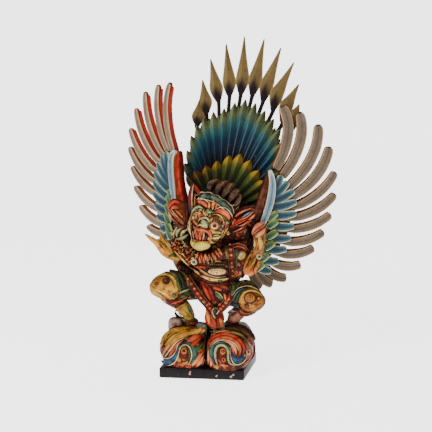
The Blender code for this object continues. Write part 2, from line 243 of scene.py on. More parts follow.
def strand(keys, facing, around, along, blunt, section=oval, turn=None, who=0.0, paint=None, boss=False):
    """A closed form: a grid folded round a smooth line.

    Each key is x, y, z, half width and half thickness. Facing is the way that the thickness looks, for all
    keys or one for each. The ends are rounder the nearer blunt is to 1. With 0 the form keeps the widths of
    its keys and is closed at each end. The crest of a boss is its far end, and that of another form its
    front. Who is the form's place in a row, from 0 to 1.
    """
    sides = getattr(section, "sides", None)
    around = sides * max(1, round(around / sides)) if sides else around
    bpy.ops.mesh.primitive_grid_add(x_subdivisions=around, y_subdivisions=along, size=1)
    made = bpy.context.object
    mesh = made.data
    at = np.empty(len(mesh.vertices) * 3)
    mesh.vertices.foreach_get("co", at)
    at = at.reshape(-1, 3)
    s, t = at[:, 0] + 0.5, at[:, 1] + 0.5
    share = (1 - np.cos(pi * t)) / 2 if blunt else t
    end = np.clip(np.sin(pi * t), 0, 1) ** blunt
    end[(t < TINY) | (t > 1 - TINY)] = 0
    keys = np.asarray(keys, float)
    point = line(keys, share)
    ahead = unit(line(keys, share + 0.004)[:, :3] - line(keys, share - 0.004)[:, :3])
    facing = np.asarray(facing, float)
    look = line(facing, share) if facing.ndim == 2 else facing
    side = unit(np.cross(ahead, look))
    front = np.cross(side, ahead)
    a, b = section(np.where(s > 1 - TINY, 0.0, s))
    wide, thick = (a * end * point[:, 3], b * end * point[:, 4])
    place = point[:, :3] + side * wide[:, None] + front * thick[:, None]
    if turn is not None:
        place = (np.c_[place, np.ones(len(place))] @ np.array(turn).T)[:, :3]
    mesh.vertices.foreach_set("co", (place * MM).ravel())
    rim = (1 - np.abs(a)) * end * point[:, 3]
    crest = share * 2 - 1 if boss else b * end
    marks = {"across": a, "front": b, "along": share, "rim": rim, "who": np.full(len(s), who), "crest": crest}
    for name, values in marks.items():
        mark = mesh.attributes.new(name, "FLOAT", "POINT")
        mark.data.foreach_set("value", np.asarray(values, np.float32))
    mesh.materials.append(paint)
    return made


def egg(centre, radii, turn, around, along, blunt, paint, boss=False):
    """An egg or, with a small blunt, a pillow."""
    x, y, z = centre
    rx, ry, rz = radii
    keys = ((x, y, z - rz, rx, ry), (x, y, z + rz, rx, ry))
    return strand(keys, TO_FRONT, around, along, blunt, oval, turn, 0.0, paint, boss)


def join(name, pieces, angle=35):
    """One closed-skinned piece of the scene from the forms that make it up."""
    bpy.ops.object.select_all(action="DESELECT")
    for made in pieces:
        made.select_set(True)
    bpy.context.view_layer.objects.active = pieces[0]
    bpy.ops.object.join()
    made = bpy.context.object
    made.name = made.data.name = name
    bpy.ops.object.mode_set(mode="EDIT")
    bpy.ops.mesh.select_all(action="SELECT")
    bpy.ops.mesh.remove_doubles(threshold=1e-6)
    bpy.ops.mesh.normals_make_consistent(inside=False)
    bpy.ops.object.mode_set(mode="OBJECT")
    bpy.ops.object.shade_smooth_by_angle(angle=radians(angle))
    bpy.ops.object.select_all(action="DESELECT")
    return made


def settle(piece, nodes):
    """Ties a finished piece to the body and hides any solids that it stands for."""
    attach(piece, "root")
    if nodes:
        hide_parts(*nodes)


# Frames of the leaning body, of each wing, of the tail and of the head

LEAN, TURN = 8.0, -11.0
WING_CENTRE, WING_SPREAD, WING_SWEEP, WING_BACK = (9.0, 24.0, 270.0), 84.0, 25.0, 4.0
TAIL_ROOT, TAIL_BACK = (14.0, 52.0, 262.0), 9.0
HEAD_CENTRE, HEAD_ROLL, HEAD_PITCH = (12.0, -40.0, 275.0), 26.0, 10.0


def body_turn():
    return Matrix.Rotation(radians(TURN), 4, "Z") @ Matrix.Rotation(radians(LEAN), 4, "Y")


def wing_place(side):
    """Maps outwards, up and front of a wing into the model. Side is 1 for the bird's left, else -1."""
    sweep = Matrix.Rotation(radians(WING_SWEEP) * side, 4, "Z") @ Matrix.Rotation(radians(-WING_BACK), 4, "X")
    axes = Matrix(((side, 0, 0, 0), (0, 0, -1, 0), (0, 1, 0, 0), (0, 0, 0, 1)))
    root = Matrix.Translation((side * WING_SPREAD, 0, 0))
    return Matrix.Translation(WING_CENTRE) @ body_turn() @ root @ sweep @ axes


def tail_place():
    """Maps sideways, up and front of the tail into the model."""
    back = Matrix.Rotation(radians(-TAIL_BACK), 4, "X")
    axes = Matrix(((1, 0, 0, 0), (0, 0, -1, 0), (0, 1, 0, 0), (0, 0, 0, 1)))
    return Matrix.Translation(TAIL_ROOT) @ body_turn() @ back @ axes


# Finishes of the feathers and of the carving

BARE_WOOD = (0.12, 0.065, 0.035)
# The dark of the lines between carved leaves, also used as painted shade on the sides of carved forms.
DARK_LINE_AND_SHADE = (0.026, 0.009, 0.006)


def long_feather(name, face, stripe, border, edge, low_edge, tip):
    """Long wing feathers: a grey-brown face with a mauve line and pale borders, and strong sides."""
    p = Paint(name)
    across, front, along, rim, who = (p.read(n) for n in ("across", "front", "along", "rim", "who"))
    streak = p.noise(9, 3, (1, 1, 0.35))
    colour = p.mix(face, stripe, (abs(across) + streak * 0.25).rise(0.42, 0.12))
    colour = p.mix(colour, border, (rim + streak * 0.8).rise(2.5, 1.5) * front.rise(0.4, 0.7))
    side = p.mix(edge, low_edge, (who + streak * 0.3).rise(0.35, 0.8))
    colour = p.mix(colour, side, front.rise(0.72, 0.5))
    colour = p.mix(colour, tip, (along + streak * 0.05).rise(0.86, 0.98))
    barbs = (along * 60 + abs(across) * 2.4).wave(1)
    colour = p.times(colour, barbs * 0.26 + 0.84)
    return p.finish(colour, 0.45, 0.75, barbs * 0.5)


def edge_finish(name, high, low):
    """The strong flank beside a long feather, duller on the lower ones."""
    p = Paint(name)
    streak = p.noise(8, 3, (1, 1, 0.4))
    colour = p.mix(high, low, (p.read("who") + streak * 0.2).rise(0.38, 0.55))
    colour = p.times(colour, p.read("along").rise(0.0, 0.6) * 0.4 + 0.6)
    return p.finish(colour, 0.45, 0.8)


def leaf_feather(name, heart, body, border, dark, tip_shift=0.0):
    """Short wing feathers: a dark blue heart, a paler body and a pale border."""
    p = Paint(name)
    across, front, along, rim = (p.read(n) for n in ("across", "front", "along", "rim"))
    streak = p.noise(5, 3)
    outer = along * 0.7 + abs(across) * 0.7 + streak * 0.2
    colour = p.mix(heart, body, outer.rise(0.4 + tip_shift, 1.1 + tip_shift))
    colour = p.mix(colour, border, (rim + streak * 1.2).rise(2.9, 1.9))
    colour = p.mix(colour, dark, front.rise(0.25, 0.0))
    return p.finish(colour, 0.45, 0.85)


def tail_spike():
    p = Paint("tail_spike")
    across, front, along = (p.read(n) for n in ("across", "front", "along"))
    streak = p.noise(14, 3, (1, 1, 0.3))
    # Painted light: the left facet is paler and the right one darker, partly paint and partly painted light
    # from the upper left.
    left = (0.20, 0.145, 0.062)
    right = p.mix((0.120, 0.066, 0.024), (0.17, 0.115, 0.045), (streak + 0.4).rise(0.4, 0.8))
    colour = p.mix(left, right, across.rise(-0.16, 0.02))
    edge = abs(across).rise(0.72, 0.95)
    colour = p.mix(colour, (0.36, 0.25, 0.13), edge * 0.6)
    root = along + abs(across) * 0.18 + streak * 0.06
    colour = p.mix((0.016, 0.008, 0.010), colour, root.rise(0.50, 0.74))
    colour = p.mix(colour, (0.035, 0.024, 0.015), along.rise(0.94, 1.0))
    colour = p.mix(colour, BARE_WOOD, front.rise(0.0, -0.1))
    return p.finish(colour, 0.45, 0.7)


def tail_quill():
    p = Paint("tail_quill")
    across, front, along, who = (p.read(n) for n in ("across", "front", "along", "who"))
    streak = p.noise(12, 3, (1, 1, 0.3))
    reach = along + streak * 0.06 - 0.03
    colour = p.mix((0.004, 0.008, 0.015), (0.008, 0.050, 0.085), reach.rise(0.28, 0.44))
    colour = p.mix(colour, (0.030, 0.130, 0.130), reach.rise(0.40, 0.54))
    colour = p.mix(colour, (0.170, 0.200, 0.100), reach.rise(0.50, 0.74))
    shade = p.mix(colour, (0.110, 0.090, 0.035), reach.rise(0.66, 0.86) * 0.8)
    # Painted shade: the right half of each quill is mixed towards an olive shade near the tip and made darker
    # all along, light being taken from the upper left.
    colour = p.mix(colour, shade, across.rise(0.0, 0.15))
    colour = p.times(colour, across.rise(0.15, -0.15) * 0.4 + 0.6)
    ridge = (1 - abs(across)).rise(0.84, 0.95) * (1 - reach.rise(0.50, 0.70))
    colour = p.mix(colour, (0.120, 0.150, 0.200), ridge * (who.rise(0.25, 0.6) * 0.75 + 0.25) * 0.85)
    colour = p.mix(colour, BARE_WOOD, front.rise(0.0, -0.1))
    return p.finish(colour, 0.5, 0.7)


def tail_leaf():
    p = Paint("tail_leaf")
    across, front, along, who = (p.read(n) for n in ("across", "front", "along", "who"))
    streak = p.noise(9, 3, (1, 1, 0.4))
    reach = along + streak * 0.08 - 0.04
    tip = p.mix((0.150, 0.062, 0.016), (0.33, 0.21, 0.022), (who + streak * 0.2).rise(0.15, 0.5))
    body = p.mix((0.040, 0.030, 0.010), (0.075, 0.100, 0.020), (who + streak * 0.2).rise(0.2, 0.6))
    colour = p.mix((0.014, 0.022, 0.008), body, reach.rise(0.24, 0.52))
    colour = p.mix(colour, tip, reach.rise(0.50, 0.76))
    # Painted light: the left half of each leaf is lighter and the right half darker, light being taken from
    # the upper left.
    colour = p.times(colour, across.rise(0.1, -0.1) * 0.75 + 0.5)
    ridge = (1 - abs(across)).rise(0.80, 0.95) * reach.rise(0.3, 0.6)
    colour = p.mix(colour, (0.24, 0.22, 0.06), ridge * 0.5)
    colour = p.mix(colour, BARE_WOOD, front.rise(0.0, -0.1))
    return p.finish(colour, 0.5, 0.7)


def plain(name, colour, second=None):
    """One brushed colour drifting towards a second one; each form has a pale crest, dry-brushed paint and
    painted highlight, and a dark foot, outline paint and painted shade.
    """
    p = Paint(name)
    drift, crest = p.noise(11, 3), p.read("crest")
    tone = p.mix(colour, second or tuple(c * 0.6 for c in colour), drift.rise(0.42, 0.66))
    # Painted highlight: the crest of each form, its front, is mixed towards a paler copy of its colour.
    pale = tuple(min(0.82, c * 1.25 + d) for c, d in zip(colour, (0.075, 0.050, 0.016)))
    tone = p.mix(tone, pale, crest.rise(0.80, 0.99) * drift.rise(0.62, 0.40) * 0.55)
    # Painted shade: away from its crest each form darkens towards a dark copy of its colour, which is also
    # its dark outline.
    foot = tuple(c * 0.16 + d for c, d in zip(second or colour, (0.012, 0.005, 0.002)))
    tone = p.mix(tone, foot, crest.rise(0.82, 0.05) * 0.72)
    return p.finish(tone, 0.5, 0.85)


def carved(name, tones, size, light):
    """Small carved leaves packed close, each in one of the tones, with dark lines between them; each leaf is
    paler in its middle as painted highlight and the form darkens away from its front as painted shade.
    """
    p = Paint(name)
    drift = p.node("ShaderNodeTexNoise", {}, {"Vector": p.place, "Scale": 90, "Detail": 1.0}, "Color")
    bent = {0: drift, 1: (0.008,) * 3, 2: p.place}
    place = p.node("ShaderNodeVectorMath", {"operation": "MULTIPLY_ADD"}, bent)
    place = p.node("ShaderNodeMapping", {}, {"Vector": place, "Scale": (1, 1, 0.7)})
    given = {"Vector": place, "Scale": 1000 / size, "Randomness": 0.85}
    cell = p.node("ShaderNodeTexVoronoi", {"feature": "F1"}, given, "Color")
    edge = p.node("ShaderNodeTexVoronoi", {"feature": "DISTANCE_TO_EDGE"}, given, "Distance")
    pick = p.node("ShaderNodeSeparateColor", {}, {"Color": cell})
    tone = tones[0]
    for n, other in enumerate(tones[1:], 1):
        start = n / len(tones)
        tone = p.mix(tone, other, pick.rise(start - 0.01, start + 0.01))
    tone = p.mix(DARK_LINE_AND_SHADE, tone, edge.rise(0.03, 0.18))
    # Painted highlight: the middle of each carved leaf is made paler, by as much as light gives.
    tone = p.mix(tone, (0.60, 0.42, 0.22), edge.rise(0.30, 0.5) * light)
    # Painted shade: each carved form darkens away from its front.
    tone = p.mix(tone, DARK_LINE_AND_SHADE, p.read("crest").rise(0.3, -0.2) * 0.7)
    return p.finish(tone, 0.5, 0.9, edge.rise(0.0, 0.3) * 1.2, 0.4)


# Wings

PRIMARIES, COVERTS, SCALES = 13, 10, 6
PRIMARY_THICK, PRIMARY_BOW = 5.2, 0.10
ROUND_END = (1, 1, 1, 1, 1, 1, 1, 0.97, 0.86, 0.66, 0.30)

# What each wing has of its own, outwards and up from its middle. The curl is that of the first tip and what
# each next one has less. A flank is the strong side beside each long feather
WINGS = {
    "wing_left": {
        "side": 1, "half": 8.0, "fuller": 1.4, "curl": (7.5, 1.8), "tip_wide": 0.92,
        "flank_off": 6.4, "flank_end": 0.96, "flank_half": (3.6, 3.6),
        "roots": ((14, 104), (43, 76), (57, 40), (54, -1), (44, -46), (24, -80), (-4, -88)),
        "tips": ((15, 207), (77, 182), (114, 106), (116, 33), (95, -28), (55, -86), (15, -106)),
        "covert_roots": ((6, 52), (8, 40), (12, 12), (10, -34), (4, -72)),
        "covert_tips": ((22, 90), (46, 70), (56, 37), (55, -3), (47, -39), (27, -77)),
        "scales": ((17, 21), (21, -20), (6, -69)),
        "leader": ((-3, -6), (5, 22), (9, 50), (8, 76), (1, 97)),
        "spar": ((-22, -30), (-10, 20), (-2, 60), (4, 96)),
    },
    "wing_right": {
        "side": -1, "half": 6.6, "fuller": 0, "curl": (5.0, 1.5), "tip_wide": 0.78,
        "flank_off": 5.4, "flank_end": 0.93, "flank_half": (5.2, 4.2),
        "roots": ((18, 98), (44, 86), (55, 52), (42, 12), (6, -36), (-4, -62), (-16, -70)),
        "tips": ((53, 208), (108, 181), (129, 111), (108, 46), (70, -17), (16, -70), (-10, -84)),
        "covert_roots": ((6, 52), (2, 36), (0, 8), (-6, -20), (-14, -50)),
        "covert_tips": ((28, 91), (43, 70), (46, 40), (38, 6), (20, -26), (-2, -56)),
        "scales": ((-4, 24), (-4, -10), (-18, -44)),
        "leader": ((-21, 6), (-7, 38), (3, 63), (7, 84), (3, 98)),
        "spar": ((-46, -30), (-33, 10), (-13, 46), (3, 98)),
    },
}


def blade(root, tip, half, thick, front, bow, place, who, paint, deeper, lift=0.0, hook=0.0,
          section=PILLOW, along=26, tip_wide=0.74, around=20):
    """A feather on a board, bowed towards its lower side.

    Its end is bent back towards its upper side by hook, and its root is drawn out backwards by deeper.
    """
    root, tip = np.array(root, float), np.array(tip, float)
    chord = tip - root
    across = np.array((chord[1], -chord[0]))
    keys = []
    shares = (-deeper, 0.0, 0.2, 0.4, 0.6, 0.75, 0.87, 0.93, 0.965, 0.985, 1.0)
    for share, round_end in zip(shares, ROUND_END):
        bend = bow * 4 * share * (1 - share) - hook / np.hypot(*chord) * max(share - 0.62, 0) ** 2 / 0.144
        at = root + chord * share + across * bend
        wide = (1 - (1 - tip_wide) * ease(share, 0.45, 1.0)) * round_end
        high = front + lift * max(share, 0) ** 2
        keys.append((at[0], at[1], high, half * wide, thick * (1.04 - 0.2 * share)))
    return strand(keys, OUT_OF_BOARD, around, along, 0.35, section, place, who, paint)


def feathers(given, roots, tips, count):
    """The root and the tip of each feather of a row."""
    shares = np.linspace(0, 1, count)
    return enumerate(zip(line(given[roots], shares), line(given[tips], shares)))


def wing(name, long_paint, edge_paint, covert_paint, scale_paint, leader_paint, spar_paint, back_paint):
    """A wing: its back and spar, the long feathers and their flanks, coverts, scales and the leader."""
    given = WINGS[name]
    place = wing_place(given["side"])
    spar, half, tip_wide, (curl, less) = (given[n] for n in ("spar", "half", "tip_wide", "curl"))
    low = np.array(given["roots"][-1]) + (4, 0)
    middle = (np.array(spar[0]) + given["covert_tips"][-1]) / 2
    panel = ((*low, 0, 10, 4.0), (*middle, 0, 20, 4.0), (12 + middle[0] / 2, 0, 0, 36, 4.0),
             (20, 50, 0, 24, 4.0), (14, 88, 0, 12, 4.0))
    strip = [(*at, 1.5, 7.5, 7.4) for at in spar]
    made = [
        strand(panel, OUT_OF_BOARD, 24, 24, 0.5, cushion, place, 0, back_paint),
        strand(strip, OUT_OF_BOARD, 24, 20, 0.35, BOARD, place, 0, spar_paint),
    ]
    for n, (root, tip) in feathers(given, "roots", "tips", PRIMARIES):
        who = n / (PRIMARIES - 1)
        hook = max(curl - less * n, 0)
        deeper = 0.05 if n < 2 else 0.3 if n < 4 else 0.5
        fuller = given["fuller"] if n < 4 else 0
        made.append(blade(root, tip, half + fuller, PRIMARY_THICK, 0.3 * (n % 2), PRIMARY_BOW, place, who,
                          long_paint, deeper, 5.0, hook, BOARD, 36, tip_wide, 24))
        off = unit(np.array((root[1] - tip[1], tip[0] - root[0]))) * given["flank_off"]
        end = root + (tip - root) * given["flank_end"]
        wide = given["flank_half"][0 if n < 5 else 1]
        made.append(blade(root + off * 1.1, end + off * 0.7, wide, 3.4, -1.6, PRIMARY_BOW, place, who,
                          edge_paint, min(deeper, 0.2), 4.0, hook * 0.8, FACET, 26, 0.5, 24))
    for n, (root, tip) in feathers(given, "covert_roots", "covert_tips", COVERTS):
        made.append(blade(root, tip, 8.4, 3.8, 6.0 + 0.3 * (n % 2), 0.06, place, n / (COVERTS - 1),
                          covert_paint, 0.1, along=18))
    for n, at in enumerate(line(given["scales"], np.linspace(0, 1, SCALES))):
        made.append(blade(at - (7, 7), at + (6, 5), 7.2, 5.2, 9.0 + 0.3 * (n % 2), 0, place, n / (SCALES - 1),
                          scale_paint, 0.2, along=12, tip_wide=0.8))
    strip = [(*at, 9.2, 6.8 * wide, 5.2) for at, wide in zip(given["leader"], (0.9, 1.0, 1.0, 0.9, 0.7))]
    made.append(strand(strip, OUT_OF_BOARD, 24, 24, 0.35, BOARD, place, 0, leader_paint))
    settle(join(name + "_feathers", made), [name])


# The tail

SPIKES, QUILLS, LEAVES = 10, 17, 11
SPIKE_TIPS = ((-78, 195), (-75, 262), (-31, 312), (32, 316), (83, 282), (102, 218))
SPIKE_SHOULDERS = ((-75, 166), (-55, 216), (-16, 240), (25, 245), (63, 225), (96, 195))
SPIKE_STALKS = ((-74, 146), (-45, 190), (-13, 211), (24, 212), (61, 192), (94, 161))
QUILL_TIPS = ((-82, 80), (-79, 130), (-62, 167), (-28, 188), (8, 210), (46, 197), (80, 171), (96, 126),
              (100, 78))
LEAF_TIPS = ((-72, 63), (-30, 90), (20, 116), (66, 86), (90, 46))

# Outlines of a spike and of a quill: share of the way, half width and, of a spike, half thickness
STALK = ((0.2, 3.8, 3.8), (0.6, 3.8, 3.8), (0.85, 3.8, 3.8))
FLARE = ((0.0, 3.6, 3.8), (0.25, 5.8, 4.6), (0.5, 8.8, 5.4), (0.75, 11.4, 6.0), (1.0, 12.4, 6.2))
POINT = ((0.14, 11.2, 6.0), (0.32, 8.6, 5.4), (0.55, 5.6, 4.4), (0.8, 2.9, 3.0), (1.0, 1.0, 1.2))
QUILL = ((0, 0.2), (0.25, 0.4), (0.5, 0.66), (0.72, 0.92), (0.83, 1.0), (0.90, 0.84), (0.955, 0.5),
         (1.0, 0.06))


def tail(name):
    """The fan: spikes behind, then quills with more of them in the gaps, then leaves, and a round root."""
    place = tail_place()
    spike, quill, leaf = tail_spike(), tail_quill(), tail_leaf()
    back = plain("tail_back", (0.10, 0.045, 0.02))
    made = []
    for n, share in enumerate(np.linspace(0, 1, SPIKES)):
        tip, shoulder, stalk = (line(keys, share) for keys in (SPIKE_TIPS, SPIKE_SHOULDERS, SPIKE_STALKS))
        keys = []
        spans = ((stalk * 0, stalk, STALK), (stalk, shoulder, FLARE), (shoulder, tip, POINT))
        for start, end, outline in spans:
            for along, half, thick in outline:
                keys.append((*(start * (1 - along) + end * along), 0.4 * (n % 2), half, thick))
        made.append(strand(keys, OUT_OF_BOARD, 16, 44, 0, PLEAT, place, 0, spike))
    fans = ((QUILLS, QUILL_TIPS, 7, 9.6, quill), (LEAVES, LEAF_TIPS, 14.5, 10.2, leaf))
    for count, tips, front, size, paint in fans:
        for n, tip in enumerate(line(tips, np.linspace(0, 1, count))):
            high = front + 0.4 * (n % 2)
            keys = [(*(tip * at), high, size * wide, 7.0 * min(1, 0.5 + wide / 2)) for at, wide in QUILL]
            made.append(strand(keys, OUT_OF_BOARD, 16, 28, 0, PLEAT, place, n / (count - 1), paint))
    gaps = QUILLS - 1
    for n, tip in enumerate(line(QUILL_TIPS, (np.arange(gaps) + 0.5) / gaps) * 0.955):
        keys = [(*(tip * share), 4.4, 9 * wide, 4.6) for share, wide in QUILL]
        made.append(strand(keys, OUT_OF_BOARD, 16, 28, 0, PLEAT, place, n / gaps, quill))
    made.append(egg((0, 8, 2), (32, 32, 9), place, 28, 16, 0.8, back))
    settle(join(name + "_feathers", made, 28), [name])


# The stage

FLOOR, WALL_START, WALL_CURVE = 14, 3.4, 2.6

# Lamps: place, width and power
LAMPS = {
    "key": ((-1.0, -1.5, 1.6), 0.7, 34),
    "fill": ((1.6, -1.3, 0.9), 1.2, 4),
    "top": ((0.2, 0.2, 1.9), 1.2, 8),
}


def stage():
    """A pale floor that curves up into a wall, the camera, the lamps and a white surround."""
    bpy.ops.mesh.primitive_grid_add(x_subdivisions=4, y_subdivisions=80, size=FLOOR, location=(0, 0, -0.0002))
    floor = bpy.context.object
    floor.name = "floor"
    for vertex in floor.data.vertices:
        turn = max(vertex.co.y - WALL_START, 0) / WALL_CURVE
        if turn:
            bent = min(turn, pi / 2)
            vertex.co.y = WALL_START + WALL_CURVE * sin(bent)
            vertex.co.z = WALL_CURVE * (1 - cos(bent) + turn - bent)
    bpy.ops.object.shade_smooth()
    p = Paint("pale_floor")
    p.shader.inputs["Base Color"].default_value = (0.90, 0.90, 0.90, 1)
    p.shader.inputs["Roughness"].default_value = 0.8
    p.shader.inputs["Emission Color"].default_value = (1, 1, 1, 1)
    p.shader.inputs["Emission Strength"].default_value = 2.8
    floor.data.materials.append(p.material)
    bpy.ops.object.camera_add(location=Vector(EYE) * MM)
    camera = bpy.context.object
    camera.rotation_euler = Vector(BACK).to_track_quat("Z", "Y").to_euler()
    camera.data.sensor_width = 36
    camera.data.lens = camera.data.sensor_width / 2 * DISTANCE / (HALF_FRAME * PIXEL)
    camera.data.clip_end = 20
    bpy.context.scene.camera = camera
    for name, (at, size, power) in LAMPS.items():
        bpy.ops.object.light_add(type="AREA", location=at)
        lamp = bpy.context.object
        lamp.name = name
        lamp.data.size = size
        lamp.data.energy = power
        lamp.rotation_euler = (Vector(at) - Vector((0, 0, 0.25))).to_track_quat("Z", "Y").to_euler()
    world = bpy.data.worlds.new("studio")
    world.use_nodes = True
    surround = world.node_tree.nodes["Background"]
    surround.inputs["Color"].default_value = (1, 1, 1, 1)
    surround.inputs["Strength"].default_value = 0.32
    bpy.context.scene.world = world


# The figure's forms: x, y, z, half width and half thickness along each

FORMS = {
    "torso": ("carved_dark", (10, 10, 128, 14, 16), (6, 6, 150, 34, 30), (12, -4, 177, 43, 38),
        (16, -2, 206, 48, 40), (14, 2, 238, 48, 36), (8, 2, 268, 34, 28)),
    "side_right": ("carved_dark", (-34, -6, 262, 12, 14), (-40, -12, 246, 14, 15), (-36, -16, 222, 16, 16),
        (-22, -20, 196, 16, 16)),
    "side_left": ("carved_red", (58, -10, 240, 14, 16), (60, -12, 214, 11, 16), (54, -14, 188, 12, 18),
        (46, -12, 162, 12, 16)),
    "neck": ("carved_dark", (16, -18, 258, 24, 18), (46, -18, 252, 20, 18), (74, -14, 244, 12, 12)),
    "wing_stump": ("rust", (-66, -6, 298, 10, 12), (-54, -6, 286, 18, 16), (-42, -8, 272, 18, 16),
        (-36, -8, 258, 8, 10)),
    "arm_right": ("gold", (-42, -10, 246, 12, 12), (-50, -18, 229, 11, 11), (-46, -28, 209, 11, 10),
        (-54, -38, 211, 10, 9), (-66, -46, 220, 10, 9), (-78, -52, 233, 6, 5), (-90, -56, 243, 4, 4),
        (-98, -58, 250, 2, 2)),
    "claw_right": ("gold", (-66, -44, 226, 6, 5), (-72, -46, 241, 4, 4), (-75, -46, 252, 2, 2)),
    "arm_left": ("sallow", (88, -18, 264, 12, 12), (91, -20, 252, 13, 13), (93, -26, 234, 10, 11),
        (90, -38, 216, 9, 10), (84, -46, 206, 9, 9), (78, -52, 200, 7, 7)),
    "palm_left": ("orange", (84, -50, 208, 8, 7), (80, -54, 196, 11, 8), (76, -56, 184, 9, 7)),
    "thigh_right": ("carved_moss", (-8, 4, 140, 20, 20), (-29, -14, 150, 24, 22), (-57, -36, 158, 23, 22),
        (-72, -46, 156, 14, 14)),
    "knee_right": ("gold", (-42, -26, 152, 20, 20), (-57, -36, 157, 25, 24), (-75, -48, 156, 21, 22),
        (-91, -55, 154, 12, 13)),
    "calf_right": ("carved_red", (-73, -44, 150, 14, 14), (-60, -36, 138, 15, 15), (-46, -25, 122, 13, 13)),
    "shin_right": ("olive_gold", (-62, -34, 132, 8, 9), (-44, -22, 120, 13, 13), (-33, -15, 104, 11, 11),
        (-28, -12, 84, 10, 11)),
    "ankle_right": ("carved_red", (-30, -12, 92, 13, 13), (-27, -12, 82, 14, 14)),
    "heel_right": ("gold", (-27, -12, 84, 13, 14), (-30, -12, 68, 16, 14)),
    "thigh_left": ("carved_moss", (6, 4, 138, 20, 20), (33, -14, 144, 23, 22), (66, -34, 144, 23, 22),
        (86, -46, 140, 14, 14)),
    "knee_left": ("amber", (63, -34, 141, 19, 20), (78, -42, 141, 22, 22), (90, -48, 139, 20, 20),
        (104, -54, 140, 11, 12)),
    "calf_left": ("carved_dark", (89, -42, 133, 13, 13), (76, -34, 123, 14, 14), (60, -22, 112, 12, 12)),
    "shin_left": ("mauve", (70, -30, 118, 10, 10), (55, -20, 109, 13, 13), (46, -13, 96, 11, 11),
        (43, -10, 84, 10, 10)),
    "ankle_left": ("carved_dark", (45, -11, 92, 13, 13), (43, -10, 80, 15, 14)),
    "heel_left": ("carved_dark", (43, -10, 81, 13, 12), (51, -12, 70, 16, 12)),
    "foot_right": ("gold", (-24, -8, 72, 12, 9), (-42, -26, 68, 14, 10), (-59, -44, 63, 11, 8),
        (-74, -57, 58, 4, 4)),
    "toe_right": ("gold", (-44, -30, 66, 9, 8), (-51, -50, 62, 7, 6), (-56, -60, 57, 3, 3)),
    "toe_inner": ("gold", (-25, -20, 74, 9, 8), (-10, -36, 78, 6, 5), (2, -44, 84, 3, 3)),
    "foot_left": ("brown", (43, -6, 76, 12, 9), (63, -24, 76, 14, 9), (80, -42, 74, 9, 7),
        (89, -50, 72, 3, 3)),
    "toe_left": ("brown", (52, -20, 76, 9, 8), (52, -44, 74, 7, 6), (50, -55, 70, 3, 3)),
    "ball_right": ("pink_grey", (-54, -14, 66, 14, 14), (-54, -14, 95, 14, 14)),
    "tongue": ("red", (17, -22, 136, 10, 9), (15, -27, 120, 13, 10), (16, -32, 104, 17, 11),
        (18, -34, 93, 16, 10), (19, -33, 85, 9, 7)),
    "apron": ("carved_crimson", (14, -34, 180, 30, 12), (20, -36, 146, 27, 11), (20, -34, 122, 16, 10),
        (20, -34, 108, 6, 8)),
    "collar": ("carved_red", (-54, -10, 240, 13, 9), (-44, -30, 224, 18, 10), (-22, -42, 208, 20, 10),
        (15, -50, 213, 17, 9), (50, -42, 224, 15, 9), (72, -18, 238, 11, 7)),
    "strap_right": ("wine", (-34, -32, 176, 7, 6), (-5, -42, 141, 7, 6), (20, -44, 110, 7, 6)),
    "strap_left": ("wine", (72, -30, 168, 7, 6), (46, -42, 139, 7, 6), (20, -44, 110, 7, 6)),
    "ear_left": ("carved_ear", (40, -36, 264, 12, 7), (62, -32, 279, 13, 6), (84, -24, 293, 3, 3)),
    "earlobe_left": ("carved_ear", (36, -36, 258, 9, 6), (54, -34, 262, 9, 6), (74, -30, 272, 3, 3)),
    "ear_right": ("wine", (-18, -42, 292, 7, 6), (-22, -38, 315, 6, 5), (-21, -32, 335, 2, 2)),
}
ROCKS = {
    "lobe_right": ("carved_rock", (-36, -1, 10, 37, 61), (-35.5, -1, 30, 40, 65), (-34.5, 0, 56, 40, 63),
        (-32, 2, 80, 31, 52)),
    "lobe_left": ("carved_rock", (41, -1, 10, 34, 61), (40, -1, 30, 37, 65), (40, 0, 56, 37, 63),
        (38, 2, 82, 30, 52)),
    "rock_back": ("dark", (0, 8, 8, 68, 54), (0, 8, 40, 68, 54), (2, 0, 58, 50, 36)),
}

# Forms placed as they are seen: paint, depth, then x, y and half width along each, in pixels
FILLS = {
    "hip_right": ("carved_dark", -12, (172.6, 256, 2), (177.6, 262, 4.6), (184.6, 270, 6.6), (189, 281, 6),
        (190, 291, 3)),
    "temple": ("black", -34, (195.4, 188, 2), (194.4, 194, 4), (193.4, 201, 4.6), (192.2, 208, 4.4),
        (192.6, 214, 3.4)),
    "flank_left": ("carved_dark", -14, (251, 238, 3), (249.6, 248, 4.6), (247.6, 258, 4.6), (244, 268, 4),
        (241.6, 278, 3)),
    "nape": ("carved_ear", -4, (241, 228, 4), (249, 223, 5), (256, 226, 4), (256, 236, 3.5), (250, 242, 3)),
    "cloth": ("carved_crimson", -22, (199, 286, 3), (207, 292, 6), (215, 299, 6.5), (222, 292, 6),
        (232, 286, 3)),
}

# The head in its own frame: sideways, back and up from its middle
HEAD = {
    "skull": ("carved_face", (0, 4, 0), (34, 42, 41), 0.8),
    "hair": ("black", (-1, 12, 26), (34, 34, 24), 0.7),
    "brow": ("carved_face", (-3, -26, 17), (29, 15, 9), 0.8),
    "nose": ("sage", (-4, -36, 4), (8, 11, 10), 0.8),
    "cheeks": ("carved_face", (-2, -20, -12), (30, 22, 20), 0.8),
    "beak": ("sallow", (-6, -38, -8), (10, 14, 12), 0.8),
    "jaw": ("pale_yellow", (1, -25, -37), (15.5, 17, 10), 0.7),
    "diadem": ("black", (-2, -4, 36), (33, 30, 10), 0.6),
    "bun": ("black", (-3, 24, 39), (25, 25, 15), 0.7),
}

